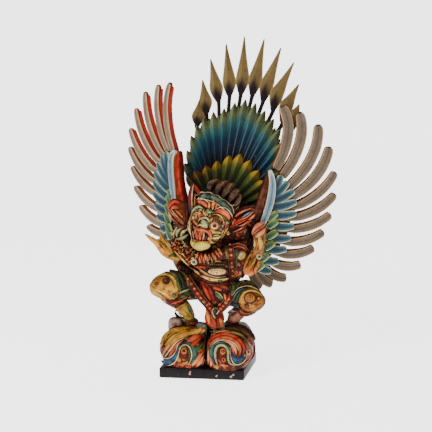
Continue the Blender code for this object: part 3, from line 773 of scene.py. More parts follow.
# Ornaments as they are seen from the front, in pixels of the photograph's frame: each has its paint, how far
# it rises from the form under it in millimetres, and its line, with a half width at each place
CARVING = {
    "rock": (
        ("rust", 1.6, (206, 338, 0.5), (203.6, 345, 1.3), (203.8, 352, 0.8)),
        ("olive", 1.8, (196, 351.6, 0.6), (199.6, 350.6, 1.2), (203.6, 347.4, 0.8)),
        ("rust", 1.6, (193, 341, 1), (188.6, 338.6, 1.6), (184.6, 339, 0.9)),
        ("crimson", 2, (196, 334.6, 0.7), (200.6, 333, 1.1), (204, 330.6, 0.6)),
        ("rust", 1.6, (177.4, 361.6, 0.7), (180, 364.2, 1.3), (176, 366, 0.8)),
        ("rust", 1.6, (210, 338, 0.8), (208.4, 344, 1.2), (208.4, 351, 0.8)),
        ("orange", 1.8, (212.6, 334.8, 0.6), (219.6, 331.8, 0.9), (229, 331.6, 0.9), (238, 334.6, 0.7)),
        ("rust", 1.6, (243, 340, 0.8), (246.6, 346, 1.2), (247, 352, 0.6)),
        ("rust", 1.6, (243.4, 365, 0.8), (248.6, 362.6, 1), (253.4, 358, 0.7)),
        ("rust", 1.6, (232.6, 343, 0.7), (230.4, 340.6, 0.8), (226, 338.8, 0.5)),
        ("coral", 1.8, (231, 345.6, 0.5), (233.4, 350.6, 1), (234, 355, 0.5)),
        ("blue", 1.6, (161, 361, 2.6), (168, 362, 2.8), (174, 359, 2.4), (177.5, 352, 1.6), (179.5, 346.5, 1),
         (184, 342.8, 0.8)),
        ("teal", 1.6, (184, 342.6, 0.7), (190, 344, 1.2), (194, 350, 1.8), (194.5, 357, 2),
         (191, 364.5, 1.2)),
        ("cream", 2.2, (163, 365, 0.5), (170, 365, 0.6), (176, 361, 0.7), (179, 353, 0.7),
         (180.5, 347.5, 0.7), (184.5, 344.6, 0.7), (189, 346.5, 0.7), (191.5, 352, 0.7), (191.5, 358.5, 0.7),
         (188, 365, 0.6)),
        ("cream", 2.2, (161, 357.8, 0.5), (168, 358.3, 0.5), (173, 355.5, 0.5), (176.5, 350, 0.5),
         (178, 344, 0.5), (182, 340.8, 0.4)),
        ("green", 1.6, (179.5, 359, 0.6), (181, 350, 0.8), (184, 346.8, 0.7), (187.8, 348.8, 0.8),
         (189.6, 354, 0.8), (188, 361, 0.6)),
        ("orange", 2, (179, 364.3, 0.6), (184, 363.8, 1.5), (188, 361, 0.7)),
        ("orange", 2.4, (183, 336, 0.7), (174, 340, 1.5), (167, 348, 1.7), (162.5, 356, 0.9)),
        ("cream", 2.8, (185, 337.5, 0.4), (176, 342.5, 0.8), (170.5, 349.5, 0.9), (165.5, 356.5, 0.5)),
        ("coral", 2, (183, 340, 0.6), (176.5, 345.5, 1.3), (172.5, 351, 1.4), (169, 356.3, 0.7)),
        ("salmon", 2, (160.8, 343, 1), (161, 349, 1.5), (161.3, 355.5, 1)),
        ("coral", 2, (187, 341.5, 0.6), (192, 339.5, 2.6), (198.5, 336, 2.6), (203, 332.5, 0.6)),
        ("red", 2.4, (190, 346.5, 0.5), (195, 343, 2.2), (199.5, 338.5, 1.3), (202, 336, 0.4)),
        ("green", 2, (193.5, 350.5, 0.5), (198.5, 347.5, 1.7), (203.5, 342.5, 0.6)),
        ("orange", 1.8, (192, 366, 0.9), (196, 360.5, 2.3), (203, 352, 0.7)),
        ("salmon", 1.8, (196.5, 366, 0.9), (200, 361.5, 2), (203.6, 355, 0.7)),
        ("coral", 1.8, (201, 366, 0.9), (203.5, 361.5, 1.3), (204, 358, 0.6)),
        ("red", 2, (208.5, 344, 0.8), (213, 337.8, 1.4), (222, 334.5, 1.6), (232, 335.6, 1.6),
         (240, 341, 1.6), (243.8, 348, 1.2), (242, 354.5, 0.6)),
        ("coral", 2.4, (209, 348.5, 0.8), (213.5, 341.8, 1.5), (222, 337.8, 1.6), (231, 339, 1.8),
         (238, 344.5, 1.8), (240, 351, 1.4), (238.4, 356, 0.5)),
        ("salmon", 2, (220, 340.4, 0.5), (229, 342, 1.3), (234.5, 347.5, 1.7), (236.5, 354.5, 0.6)),
        ("cream", 3, (210.5, 347.5, 0.4), (216, 341.9, 0.5), (223, 339.9, 0.5), (230, 341, 0.5),
         (236, 345, 0.6), (238.6, 351, 0.5)),
        ("teal", 1.8, (214.5, 364.5, 0.8), (211.8, 357, 1.8), (211.4, 350, 2), (214.2, 344.6, 1.3),
         (220, 342.4, 0.9), (226.5, 344.4, 0.9), (230.3, 350, 1)),
        ("sage", 2.2, (218, 365.6, 0.8), (215.4, 358, 1.1), (215.4, 350, 1.2), (219, 345.3, 1.1),
         (225, 346, 1.1), (228.3, 351, 1.2), (228, 358, 1), (230, 363.5, 0.8), (236, 365.6, 0.6)),
        ("blue", 1.8, (232, 348.5, 0.9), (232.8, 356, 2.2), (236.3, 361, 2.4), (241.5, 358.6, 1.8),
         (244, 352, 0.9)),
        ("cream", 2.4, (230.2, 346.5, 0.4), (230.4, 355, 0.5), (233, 362.6, 0.5), (238, 364.6, 0.6),
         (244, 361, 0.6), (246.5, 354, 0.5), (245, 348, 0.4)),
        ("orange", 2, (219, 364.4, 0.7), (224.5, 365.2, 1.2), (228.6, 365.6, 0.5)),
        ("orange", 1.8, (208.6, 366, 0.8), (208.8, 357, 1.4), (208.8, 349, 0.6)),
        ("coral", 1.8, (210, 352.5, 0.4), (211, 359.5, 1.1), (215, 366, 0.9)),
        ("salmon", 1.8, (211, 366, 0.8), (211.4, 363.6, 1.2), (210.4, 360, 0.4)),
        ("wine", 2, (244, 335, 1), (250, 339.5, 1.6), (254.4, 347, 1.7), (254.4, 355, 1.4),
         (250, 361.5, 0.9)),
        ("coral", 2.4, (246, 341, 0.7), (251, 346.6, 1.2), (252, 353, 1.2), (248.6, 359.6, 0.9),
         (244.6, 362.6, 0.5)),
        ("coral", 2.4, (248.5, 337, 0.6), (254, 342.6, 0.9), (256.4, 351, 0.9), (255, 357, 0.5)),
        ("olive", 2.2, (208.5, 331.5, 1), (214.5, 332.6, 1.4), (221, 330.8, 1)),
        ("green", 2.8, (208, 328.4, 0.9), (214, 329.6, 1.2), (219, 328.6, 0.8)),
    ),
    "feet": (
        ("gold", 4, (197, 331.6, 3), (184, 334, 4.6), (172, 338, 4.6), (165, 345, 3)),
        ("gold", 5.6, (191, 329.5, 3), (180, 330.4, 3.6), (170, 333.6, 3.6), (163.8, 339.6, 2.8),
         (161, 347, 1)),
        ("gold", 6, (192, 333, 2.6), (183, 335, 3), (175.5, 339.6, 2.6), (170, 346.5, 1.1)),
        ("gold", 6, (184, 334.4, 2), (193, 333, 3), (200, 330.6, 2.4), (205, 326.4, 1)),
        ("olive_gold", 6.6, (176, 330.4, 0.9), (169, 335, 1.3), (164.4, 342.6, 0.9)),
        ("butter", 6.8, (187, 330.4, 0.6), (192.6, 331.4, 1), (199, 329.6, 0.6)),
        ("brown", 7, (181, 332.6, 0.35), (173, 335.4, 0.4), (167, 341.5, 0.4), (164.5, 346.5, 0.3)),
        ("brown", 7.5, (186, 330, 0.3), (189.5, 331.5, 0.4), (196, 330, 0.3)),
        ("brown", 4, (226, 329, 2.2), (236, 329.6, 2.6), (246, 332.5, 2.5), (252.4, 339, 1.6),
         (254, 345, 0.8)),
        ("olive", 4.4, (224, 333, 1.2), (233, 332.8, 1.5), (242, 336, 1.5), (248.6, 342.6, 0.8)),
        ("wine", 4.4, (240, 333.4, 0.5), (246.6, 337, 0.8), (251.6, 344.6, 0.6)),
    ),
    "legs": (
        ("butter", 1.4, (152, 281, 0.8), (157, 276.6, 1.2), (166, 274.3, 1.3), (173.6, 278.6, 1.2),
         (178, 286, 1.1), (180.6, 293.6, 0.8)),
        ("butter", 1.4, (153.5, 288, 0.7), (160, 291.6, 1.1), (167, 294.5, 1.2), (171, 299.5, 0.8)),
        ("brown", 1.6, (151.6, 285.6, 0.3), (157, 291, 0.45), (164.6, 297, 0.4), (171, 301.6, 0.3)),
        ("brown", 2, (160.6, 276.8, 0.3), (167.6, 276.4, 0.4), (172.6, 282.6, 0.45), (175, 288.6, 0.3)),
        ("olive", 4, (165, 272.4, 0.9), (171.6, 273.6, 1.4), (176.4, 279.6, 1.7), (178.6, 287, 1.6),
         (180.6, 292.4, 1)),
        ("moss", 4.4, (169, 270.4, 1), (176.4, 272.6, 1.8), (181.4, 279.6, 2), (183.4, 288, 1.6)),
        ("teal", 5, (168.6, 272.8, 0.35), (174.6, 275.2, 0.45), (178.8, 281.4, 0.5), (180.8, 289.4, 0.4)),
        ("olive", 4.4, (177, 270, 0.8), (184, 274.6, 1.4), (187, 281, 1.3), (187.6, 287, 0.8)),
        ("green", 6, (174.6, 277.2, 0.4), (177.6, 283.4, 0.6), (179, 288.6, 0.4)),
        ("sage", 4.2, (178, 292.4, 0.9), (184, 290.6, 1.2), (189, 288.6, 0.8)),
        ("coral", 1.6, (171, 303.6, 0.7), (178, 301.6, 1.2), (187, 296.6, 0.8)),
        ("brown", 2, (172, 307.6, 0.5), (179, 305.6, 0.8), (187, 300.6, 0.5)),
        ("coral", 1.6, (174, 311.6, 0.7), (179, 309.6, 1.2), (183, 306.6, 0.7)),
        ("black", 4, (174.6, 312.6, 0.8), (177, 315, 1.6), (180.6, 318.4, 0.7)),
        ("cream", 4.6, (178, 313.6, 0.5), (181, 316, 0.8), (185, 319.4, 0.5)),
        ("green", 1.8, (187.6, 305.6, 0.5), (189.6, 310, 1.7), (191.6, 314.6, 0.6)),
        ("gold", 1.8, (183.6, 309, 0.6), (186, 314, 1), (190.6, 318, 0.7)),
        ("red", 1.8, (185.6, 322.4, 0.7), (192, 324, 1.1), (199.6, 323, 0.7)),
        ("green", 3, (186, 319.6, 0.4), (192, 321, 0.6), (199, 320, 0.4)),
        ("olive", 4, (239, 284.6, 1.2), (245, 281.4, 2.2), (252, 282.4, 2.2), (257.6, 286.6, 1)),
        ("moss", 4.4, (236, 288.6, 1.2), (243, 284.8, 1.8), (251, 285.2, 1.7), (258.6, 289.6, 0.9)),
        ("cream", 5, (233.6, 295.6, 0.35), (236.6, 290.2, 0.45), (243.6, 287.2, 0.45), (251.6, 287.6, 0.45),
         (258, 291, 0.35)),
        ("teal", 4.4, (233.6, 300, 0.9), (236.4, 293.6, 1.3), (242, 289.8, 1.2), (248, 289, 0.8)),
        ("green", 4.4, (236.4, 301.8, 0.9), (238.2, 296.4, 1.2), (241.4, 292.6, 0.9)),
        ("navy", 3, (231.6, 303, 1), (236, 304.6, 2.2), (240.6, 304.4, 1.4)),
        ("butter", 1.6, (241.4, 300.6, 0.6), (243.6, 294, 0.9), (249.6, 290.9, 1), (257, 291.9, 0.9),
         (262.8, 297, 0.7)),
        ("gold", 2, (240.6, 303.6, 0.7), (245.6, 309.4, 0.9), (254, 308.6, 0.9), (261.6, 303, 0.6)),
        ("rust", 1.6, (241, 310, 0.5), (246, 314, 0.9), (251.6, 311.6, 0.5)),
        ("rust", 1.6, (236, 308.6, 0.4), (240.6, 312.6, 0.8), (246, 316.4, 0.5)),
        ("pink_grey", 1.8, (226.6, 313.6, 0.8), (230.6, 310.6, 1.3), (236.6, 311.6, 1)),
        ("green", 2.2, (231, 315.6, 0.6), (234, 314.4, 1.5), (236.6, 312.6, 0.5)),
        ("wine", 2, (226.6, 322.4, 0.7), (232, 323.6, 1.2), (238.6, 322, 0.7)),
    ),
    "front": (
        ("butter", 3, (193, 268.3, 0.8), (199, 273.4, 1.6), (208, 278.6, 1.9), (219, 280.4, 2),
         (228.6, 278.4, 1.2)),
        ("cream", 4.4, (196, 269.6, 0.4), (203, 275.4, 0.6), (212, 279, 0.7), (222, 279.6, 0.7),
         (228.6, 277.6, 0.5)),
        ("wine", 4.4, (195.4, 272.6, 0.3), (203, 279, 0.45), (214, 282.6, 0.45), (226, 281.6, 0.3)),
        ("brown", 2.6, (195, 277.6, 0.5), (204, 283, 0.8), (217, 285, 0.9), (228, 282.6, 0.6)),
        ("cream", 2.4, (193.4, 264.9, 0.4), (200, 268.8, 0.6), (207, 273.6, 0.6), (216, 277.4, 0.6),
         (226, 276.4, 0.5)),
        ("red", 2.6, (194.6, 266.4, 0.8), (200, 266.6, 1.7), (206, 266.6, 1.2)),
        ("coral", 2.6, (199, 270.2, 0.5), (205, 273.6, 1), (211, 277, 0.5)),
        ("orange", 2, (211, 262.8, 0.5), (217, 260.4, 0.8), (223.6, 262.4, 0.5)),
        ("brown", 3, (198.4, 284, 1.5), (201.6, 292, 2), (206, 300, 1.2)),
        ("red", 3.4, (203.6, 284.6, 1.2), (206.6, 292, 2.4), (211, 300.6, 1.4)),
        ("crimson", 3.8, (209, 286, 1.6), (211.6, 293, 2.6), (214.6, 300.6, 1.6)),
        ("coral", 3.4, (214, 286.4, 1.6), (217, 289, 2.2), (222, 290, 1.2)),
        ("rust", 3.4, (221, 285.4, 1.4), (225.6, 287.6, 2), (229, 289.6, 1)),
        ("green", 5, (214.2, 290.6, 0.4), (218.6, 295, 2.3), (222.4, 300, 0.7)),
        ("cream", 6.2, (215, 290.6, 0.3), (220.4, 294, 0.5), (223, 298.6, 0.4)),
        ("orange", 5, (223.4, 293, 0.5), (225.8, 297.4, 2), (227, 302, 0.5)),
        ("coral", 5.4, (231, 294, 0.5), (229.4, 298.4, 1.5), (227, 302, 0.4)),
        ("red", 6.4, (226.6, 295, 0.4), (227, 298, 0.9), (227, 301, 0.3)),
        ("orange", 3, (206.6, 309, 1.4), (208.4, 316, 2.4), (209.6, 324, 1.6)),
        ("coral", 3.6, (213, 317, 1.6), (215, 322.6, 2.6), (217, 328.4, 1.4)),
        ("orange", 3.2, (219, 318, 1.4), (221.6, 323, 2.4), (221, 327.6, 1.4)),
        ("wine", 5.6, (215, 318, 0.3), (216.6, 322.6, 0.6), (216.6, 327, 0.3)),
        ("sea", 3.6, (235.8, 249, 1), (236.4, 259, 1.4), (237, 268.6, 0.9)),
        ("olive", 3, (224.6, 246, 1), (226.6, 252, 1.6), (226.6, 259, 1)),
        ("wine", 3.6, (221, 244, 1), (227, 240.6, 1.6), (235, 240.6, 1.6), (244, 243.6, 1.2)),
        ("mauve", 4.2, (231, 246.6, 0.8), (237, 244.4, 1.2), (243.6, 245.6, 1.2), (248.6, 250, 0.8)),
        ("coral", 4.2, (232.4, 249, 0.4), (238, 246.7, 0.6), (244, 248.4, 0.7), (247.4, 253.4, 0.5)),
        ("butter", 4.2, (174.6, 250.6, 0.7), (181, 257, 1), (188, 264, 1), (193.4, 269, 0.7)),
        ("orange", 4.4, (176.6, 248, 0.4), (183, 254.8, 0.6), (190.4, 262.4, 0.5)),
        ("cream", 4.4, (180.6, 240.4, 0.4), (185, 246, 0.5), (190.6, 251.6, 0.5), (197, 256.6, 0.4)),
        ("cream", 3.8, (174.4, 238.6, 0.9), (173.6, 231.8, 2), (178, 227.4, 1.7)),
        ("sage", 4.8, (177.8, 237.6, 1), (177.8, 232, 2), (182, 228.6, 1.4)),
        ("cream", 5.4, (181.6, 237.2, 0.9), (182.2, 232.6, 1.7), (186, 230.4, 1.1)),
        ("sage", 4.4, (175, 240, 0.9), (181, 239.2, 1.9), (188, 234.2, 1.2)),
        ("tan", 5.8, (175.6, 236, 0.4), (176, 231.6, 0.6), (179.4, 229, 0.4)),
        ("cream", 5, (184.6, 231.6, 0.5), (188, 228.2, 0.9), (191, 225.4, 0.6)),
    ),
    "wing": (
        ("red", 4, (169.6, 208.6, 1), (171.4, 204, 2), (175.6, 201.6, 2.2), (180.4, 204.4, 1.2)),
        ("coral", 4.6, (171, 210.4, 0.9), (174.4, 206.6, 2.2), (179.4, 208.6, 1.9)),
        ("cream", 5.4, (169.6, 208.6, 0.35), (172.4, 213, 0.5), (177, 217.6, 0.35)),
        ("salmon", 4.8, (172, 209.6, 0.6), (175.2, 214, 1.3), (180, 218.6, 0.8)),
        ("orange", 4.8, (175.4, 209.6, 0.6), (179.6, 213.4, 1.5), (183.4, 218, 0.8)),
        ("wine", 4, (185.6, 205, 1), (186.8, 213, 2), (186.4, 222, 1.2)),
        ("salmon", 5.2, (169.4, 209.6, 0.5), (170.4, 214, 1.4), (174, 219, 0.8)),
        ("tan", 4.4, (178.6, 216.6, 0.8), (182, 220.6, 1.6), (184.6, 225.6, 0.8)),
        ("rust", 4.2, (174.4, 219, 0.8), (178.6, 223.6, 1.6), (183, 226.6, 0.8)),
    ),
    "arms": (
        ("salmon", 3.4, (251.6, 235.6, 0.8), (254.6, 229.4, 2.2), (260, 224.6, 3), (265.4, 221.6, 0.8)),
        ("coral", 4.6, (252.6, 236.6, 0.5), (256.6, 231.4, 1), (261.6, 227.6, 1), (265.4, 224, 0.4)),
        ("salmon", 3.4, (255.6, 238, 0.8), (260.6, 233.6, 2.4), (265, 228.6, 1.4)),
        ("wine", 4.4, (250.6, 232.6, 0.5), (254, 226.6, 0.8), (260, 222.4, 0.6)),
        ("butter", 3, (258.6, 236, 1.4), (260.6, 242.6, 2.6), (259.6, 250, 1.4)),
        ("butter", 2.6, (254.6, 238, 0.8), (255.6, 243.6, 1.8), (254.4, 249.6, 1)),
        ("orange", 3, (256.6, 239, 0.4), (257.8, 244.6, 0.8), (256.6, 250.6, 0.4)),
        ("red", 2.4, (263, 234.6, 0.5), (263.4, 240.6, 0.8), (262, 247, 0.5)),
        ("orange", 2.4, (253.6, 236, 0.5), (255.6, 240, 0.9), (256, 246, 0.6)),
        ("orange", 2, (251.6, 249.6, 0.8), (252.6, 254, 1.5), (249.6, 259.6, 0.9)),
        ("amber", 5, (253, 252.6, 1.2), (249.6, 258.6, 1.7), (246.4, 264.6, 1.4), (244.6, 268.6, 0.7)),
        ("gold", 5.6, (255.6, 258, 1.4), (252.4, 262.6, 2.2), (249.6, 267.6, 1.7), (249.4, 271, 0.8)),
        ("orange", 6.2, (258, 260, 1.4), (256.6, 265, 2.2), (254, 270, 1.6), (254.6, 273, 0.7)),
        ("amber", 5.6, (261, 260, 1.2), (260.6, 264.6, 2), (259, 269.6, 1.5), (258.6, 272.6, 0.7)),
        ("butter", 7, (255, 260.6, 0.4), (252, 264.6, 0.7), (250, 268.6, 0.4)),
        ("butter", 7.4, (257.6, 262.6, 0.4), (256, 266.6, 0.7), (254.4, 270.4, 0.4)),
        ("brown", 6.4, (254.6, 257.6, 0.4), (251.6, 262.4, 0.5), (248.4, 268, 0.35)),
        ("green", 2.4, (168.6, 256.6, 0.7), (172.4, 254.6, 1.4), (176.4, 257.4, 0.8)),
        ("orange", 1.6, (160.6, 243.6, 0.6), (165, 248.6, 1.2), (169.6, 253, 0.7)),
        ("butter", 1.8, (163.6, 240.6, 0.5), (167.6, 245.6, 0.9), (171.6, 250.6, 0.6)),
        ("brown", 2, (158, 242.6, 0.3), (162.6, 248, 0.45), (167.6, 252, 0.3)),
        ("gold", 3.6, (166, 238, 0.8), (170.6, 243.6, 1.3), (174.6, 249.6, 0.9)),
    ),
    "head": (
        ("coral", 3.6, (195.3, 206.4, 0.9), (197.4, 202.4, 2.3), (202, 201.8, 2.9), (207, 205.4, 2.4),
         (208.6, 208.8, 0.9)),
        ("cream", 4.4, (194.2, 204, 0.4), (196.4, 199.6, 0.5), (202.4, 198.2, 0.5), (208.4, 201.8, 0.5),
         (210.4, 205.6, 0.4)),
        ("coral", 3.6, (214.6, 212.6, 1), (218.6, 210.4, 2.6), (224.6, 212, 3), (228.4, 216.8, 2.3),
         (227.8, 220.4, 0.9)),
        ("cream", 4.4, (214.6, 209.4, 0.4), (220, 207.2, 0.5), (226.6, 208.8, 0.5), (230.8, 214, 0.5),
         (231, 219, 0.4)),
        ("orange", 5.6, (210, 208, 0.7), (210, 204.4, 1.6), (209.8, 201.6, 0.4)),
        ("orange", 6.4, (213, 209, 0.8), (213.6, 204.4, 1.9), (213, 200, 0.4)),
        ("coral", 5.6, (215.8, 209.4, 0.5), (216.4, 206, 1.3), (216.2, 203.2, 0.4)),
        ("sage", 3.4, (193.6, 212.6, 0.7), (194.8, 208.8, 1.3), (199, 206.8, 1.3), (203, 209, 0.8)),
        ("orange", 2.6, (199.6, 210.6, 0.8), (200.4, 215, 1.6), (199.4, 219.4, 0.8)),
        ("cream", 4.4, (198.4, 224, 0.6), (200, 219.6, 1), (204.4, 216.8, 1.1), (208.4, 218.6, 1),
         (210, 222.4, 0.5)),
        ("sage", 3.6, (203, 219.6, 1), (204.6, 223, 2.6), (206.6, 227.4, 1.4)),
        ("butter", 4.6, (202.6, 220.4, 0.6), (203.4, 223.4, 1.3), (204.4, 226.6, 0.7)),
        ("cream", 4.6, (198.6, 226.6, 0.6), (201.6, 224.4, 1.4), (204.6, 227, 0.9)),
        ("coral", 4.6, (193.8, 225, 0.8), (196.4, 229, 1.4), (202, 229.6, 1.5), (207.8, 231.6, 1.4),
         (210, 236.4, 0.8)),
        ("red", 3.6, (196.6, 231, 1.2), (197.4, 235, 2), (198, 239.6, 1.2)),
        ("coral", 4.6, (199.4, 231.6, 0.8), (200, 235.6, 1.2), (200.4, 239.6, 0.7)),
        ("black", 3.4, (205.6, 233, 0.8), (206.8, 236, 1.8), (206.4, 239, 0.9)),
        ("salmon", 5.6, (203, 231, 0.5), (203.3, 235, 0.9), (202.8, 239.6, 0.3)),
        ("salmon", 4.8, (194.2, 230.6, 0.4), (194.3, 234.4, 0.8), (194.6, 238.4, 0.3)),
        ("coral", 4.4, (208.4, 231.6, 0.7), (211, 235, 1.4), (210.4, 240, 0.9)),
        ("orange", 4.4, (194, 219.6, 0.6), (196, 223, 1.5), (199, 226.6, 0.8)),
        ("red", 4.2, (206.6, 228.4, 0.6), (209.6, 230.6, 1.2), (211.4, 233.6, 0.6)),
        ("wine", 3.6, (192.6, 222, 0.5), (192.8, 230, 0.7), (193.6, 239, 0.5)),
        ("orange", 4, (193.6, 241, 0.5), (201, 241.2, 0.7), (209.4, 240.4, 0.5)),
        ("butter", 3.2, (211.4, 232.8, 1), (216, 231.6, 1.6), (221, 233.2, 0.9)),
        ("butter", 3.2, (211.4, 237.6, 0.8), (216.6, 237.4, 1.6), (221, 235.6, 0.8)),
        ("brown", 3.2, (212, 241, 0.6), (216.6, 241, 1), (221, 238.6, 0.6)),
        ("wine", 3, (218.4, 228.6, 0.5), (221.4, 225, 0.8), (222.4, 220.4, 0.5)),
        ("brown", 4.4, (208, 219.6, 0.6), (211, 217.4, 1.1), (216, 217.6, 1.2), (220, 221, 1),
         (220.4, 226, 0.7)),
        ("butter", 4, (211.6, 215.4, 0.5), (216.4, 214.8, 0.9), (221.6, 218, 0.9), (223.4, 223.6, 0.6)),
        ("butter", 4, (209.4, 229.6, 0.5), (212, 231, 0.9), (216, 230.6, 0.8)),
        ("brown", 4.4, (193.4, 219.6, 0.4), (196.6, 221.6, 0.8), (199, 220.6, 0.5)),
        ("butter", 3.6, (203, 210.6, 0.6), (204.4, 213.6, 1), (206.6, 215.8, 0.6)),
        ("sage", 4, (211.6, 213.6, 0.6), (213, 211.4, 0.9), (214.6, 213.6, 0.5)),
        ("rust", 3.6, (223.6, 219.4, 0.6), (225.4, 224, 1.1), (224.4, 229, 0.7)),
        ("sage", 3.4, (212, 236, 0.5), (215.6, 234.6, 0.9), (219, 235, 0.5)),
        ("cream", 3.6, (192.2, 208.4, 0.5), (190.9, 216, 0.7), (190.6, 226, 0.7), (191.4, 235, 0.7),
         (193, 242, 0.5)),
        ("cream", 2.4, (192.4, 208.6, 0.4), (191.9, 198, 0.6), (192.6, 189, 0.6), (193.6, 183.6, 0.3)),
        ("salmon", 2.6, (194, 206, 0.5), (194.6, 198, 0.7), (195, 190, 0.5)),
        ("red", 4, (194.4, 184.4, 0.5), (196.8, 188.6, 2.4), (198.8, 193.4, 2.7), (199, 196.6, 1.2)),
        ("coral", 5, (194.8, 186.6, 0.3), (196.4, 190, 0.6), (197, 193, 0.4)),
        ("sea", 3, (197.4, 197, 1), (203, 196, 2.6), (210, 197.4, 2.8), (217, 200.4, 3), (224, 205, 2.9),
         (231, 210.4, 1.5)),
        ("cream", 4.4, (197, 195.4, 0.4), (199.4, 192.8, 0.55), (203, 192.8, 0.55), (205.4, 194.2, 0.55),
         (208, 193, 0.55), (211.6, 194.4, 0.55), (213.6, 196.8, 0.55), (216.6, 195.6, 0.55),
         (219.6, 198, 0.55), (221, 200.8, 0.55), (225, 200.8, 0.55), (227.4, 204, 0.55), (230.6, 205.8, 0.55),
         (232.4, 209, 0.55), (233.4, 213, 0.4)),
        ("cream", 4.4, (197.4, 199, 0.4), (203, 199.2, 0.5), (210, 201.2, 0.5), (216, 203.8, 0.5),
         (222, 208.2, 0.5), (229.4, 213.4, 0.4)),
        ("cream", 3.6, (226.6, 201.6, 0.4), (229.6, 206, 0.55), (233.4, 206, 0.55), (235.6, 201.6, 0.55),
         (236, 197, 0.55), (238.6, 194.6, 0.4)),
        ("cream", 3, (239.4, 194, 0.4), (240.2, 200.6, 0.6), (237.4, 206.6, 0.55), (234.4, 209.8, 0.4)),
    ),
    "bun": (
        ("hair", 11, (210, 192, 2.2), (210.6, 187, 3.6), (215.4, 184.2, 3.8), (220.4, 184, 2)),
        ("hair", 12, (216, 196, 2), (218, 190.4, 4), (222.6, 186, 4.2), (227, 184.6, 2.2)),
        ("hair", 13, (222, 199, 2), (225, 193.2, 4), (229, 188.6, 4.2), (232.6, 186.8, 2.2)),
        ("hair", 12, (227.6, 203, 2), (230.6, 197.4, 3.8), (234, 193, 4), (236.6, 190.8, 2)),
        ("hair", 11, (232.6, 206.6, 1.8), (235.6, 202, 3.2), (238, 197.6, 3), (239, 194.6, 1.4)),
        # The four tan strands along the tops of the lobes are paler paint and painted highlight.
        ("tan", 14, (212, 188.4, 0.5), (214, 185.4, 1.1), (218, 183.8, 0.5)),
        ("tan", 16, (218.4, 192, 0.5), (220.4, 188.4, 1.4), (223.6, 185.8, 0.6)),
        ("tan", 16, (224.6, 195, 0.5), (226.8, 191, 1.3), (230, 188, 0.6)),
        ("tan", 15, (230.8, 198.6, 0.4), (232.6, 195.2, 0.9), (234.8, 192.6, 0.4)),
    ),
    "ear": (
        ("wine", 5, (228, 222, 1.5), (236, 213.6, 3.2), (246, 208.6, 2.8), (255.6, 206.4, 0.4)),
        ("salmon", 6.4, (231, 221.6, 0.5), (237.6, 214.6, 1.1), (245, 210.8, 1), (251.6, 209, 0.4)),
        ("red", 5, (229, 226.6, 1.2), (238, 221, 2.8), (247, 216, 2.4), (254, 210.6, 0.4)),
        ("slate", 7.6, (241.6, 217.4, 0.5), (245.6, 214.8, 1.3), (250.6, 211.6, 0.4)),
        ("cream", 7.6, (239.6, 219.6, 0.3), (246, 216.8, 0.5), (252.4, 211.4, 0.3)),
        ("coral", 6.8, (232, 226, 0.4), (239.6, 222.4, 0.8), (247, 218.6, 0.5)),
        ("wine", 4.4, (230.6, 231.6, 1.2), (238, 229.6, 2.3), (244.6, 225.6, 1.8), (249, 220.6, 0.4)),
        ("salmon", 5.8, (233, 231.6, 0.4), (239, 228.6, 0.7), (244.6, 225, 0.4)),
        ("coral", 5.4, (236, 233, 0.4), (240, 231, 0.6), (244.4, 228.6, 0.4)),
        ("mauve", 6, (236, 211.6, 0.6), (243, 208.4, 1.3), (252, 206.4, 0.5)),
        ("coral", 7.2, (234.6, 217.6, 0.6), (238.4, 213.6, 1.3), (242, 212, 0.6)),
        ("salmon", 7.6, (246.6, 219.6, 0.6), (250.4, 216.6, 1.5), (253.4, 212.6, 0.5)),
        ("coral", 7.4, (242.6, 223.2, 0.6), (246.6, 221, 1.5), (250.4, 217.6, 0.5)),
        ("salmon", 7, (238.6, 226, 0.5), (242.4, 224.6, 1.2), (245.6, 222.2, 0.5)),
        ("orange", 6.6, (230.6, 224.6, 0.5), (233.6, 221, 1.3), (236, 218.6, 0.5)),
    ),
}

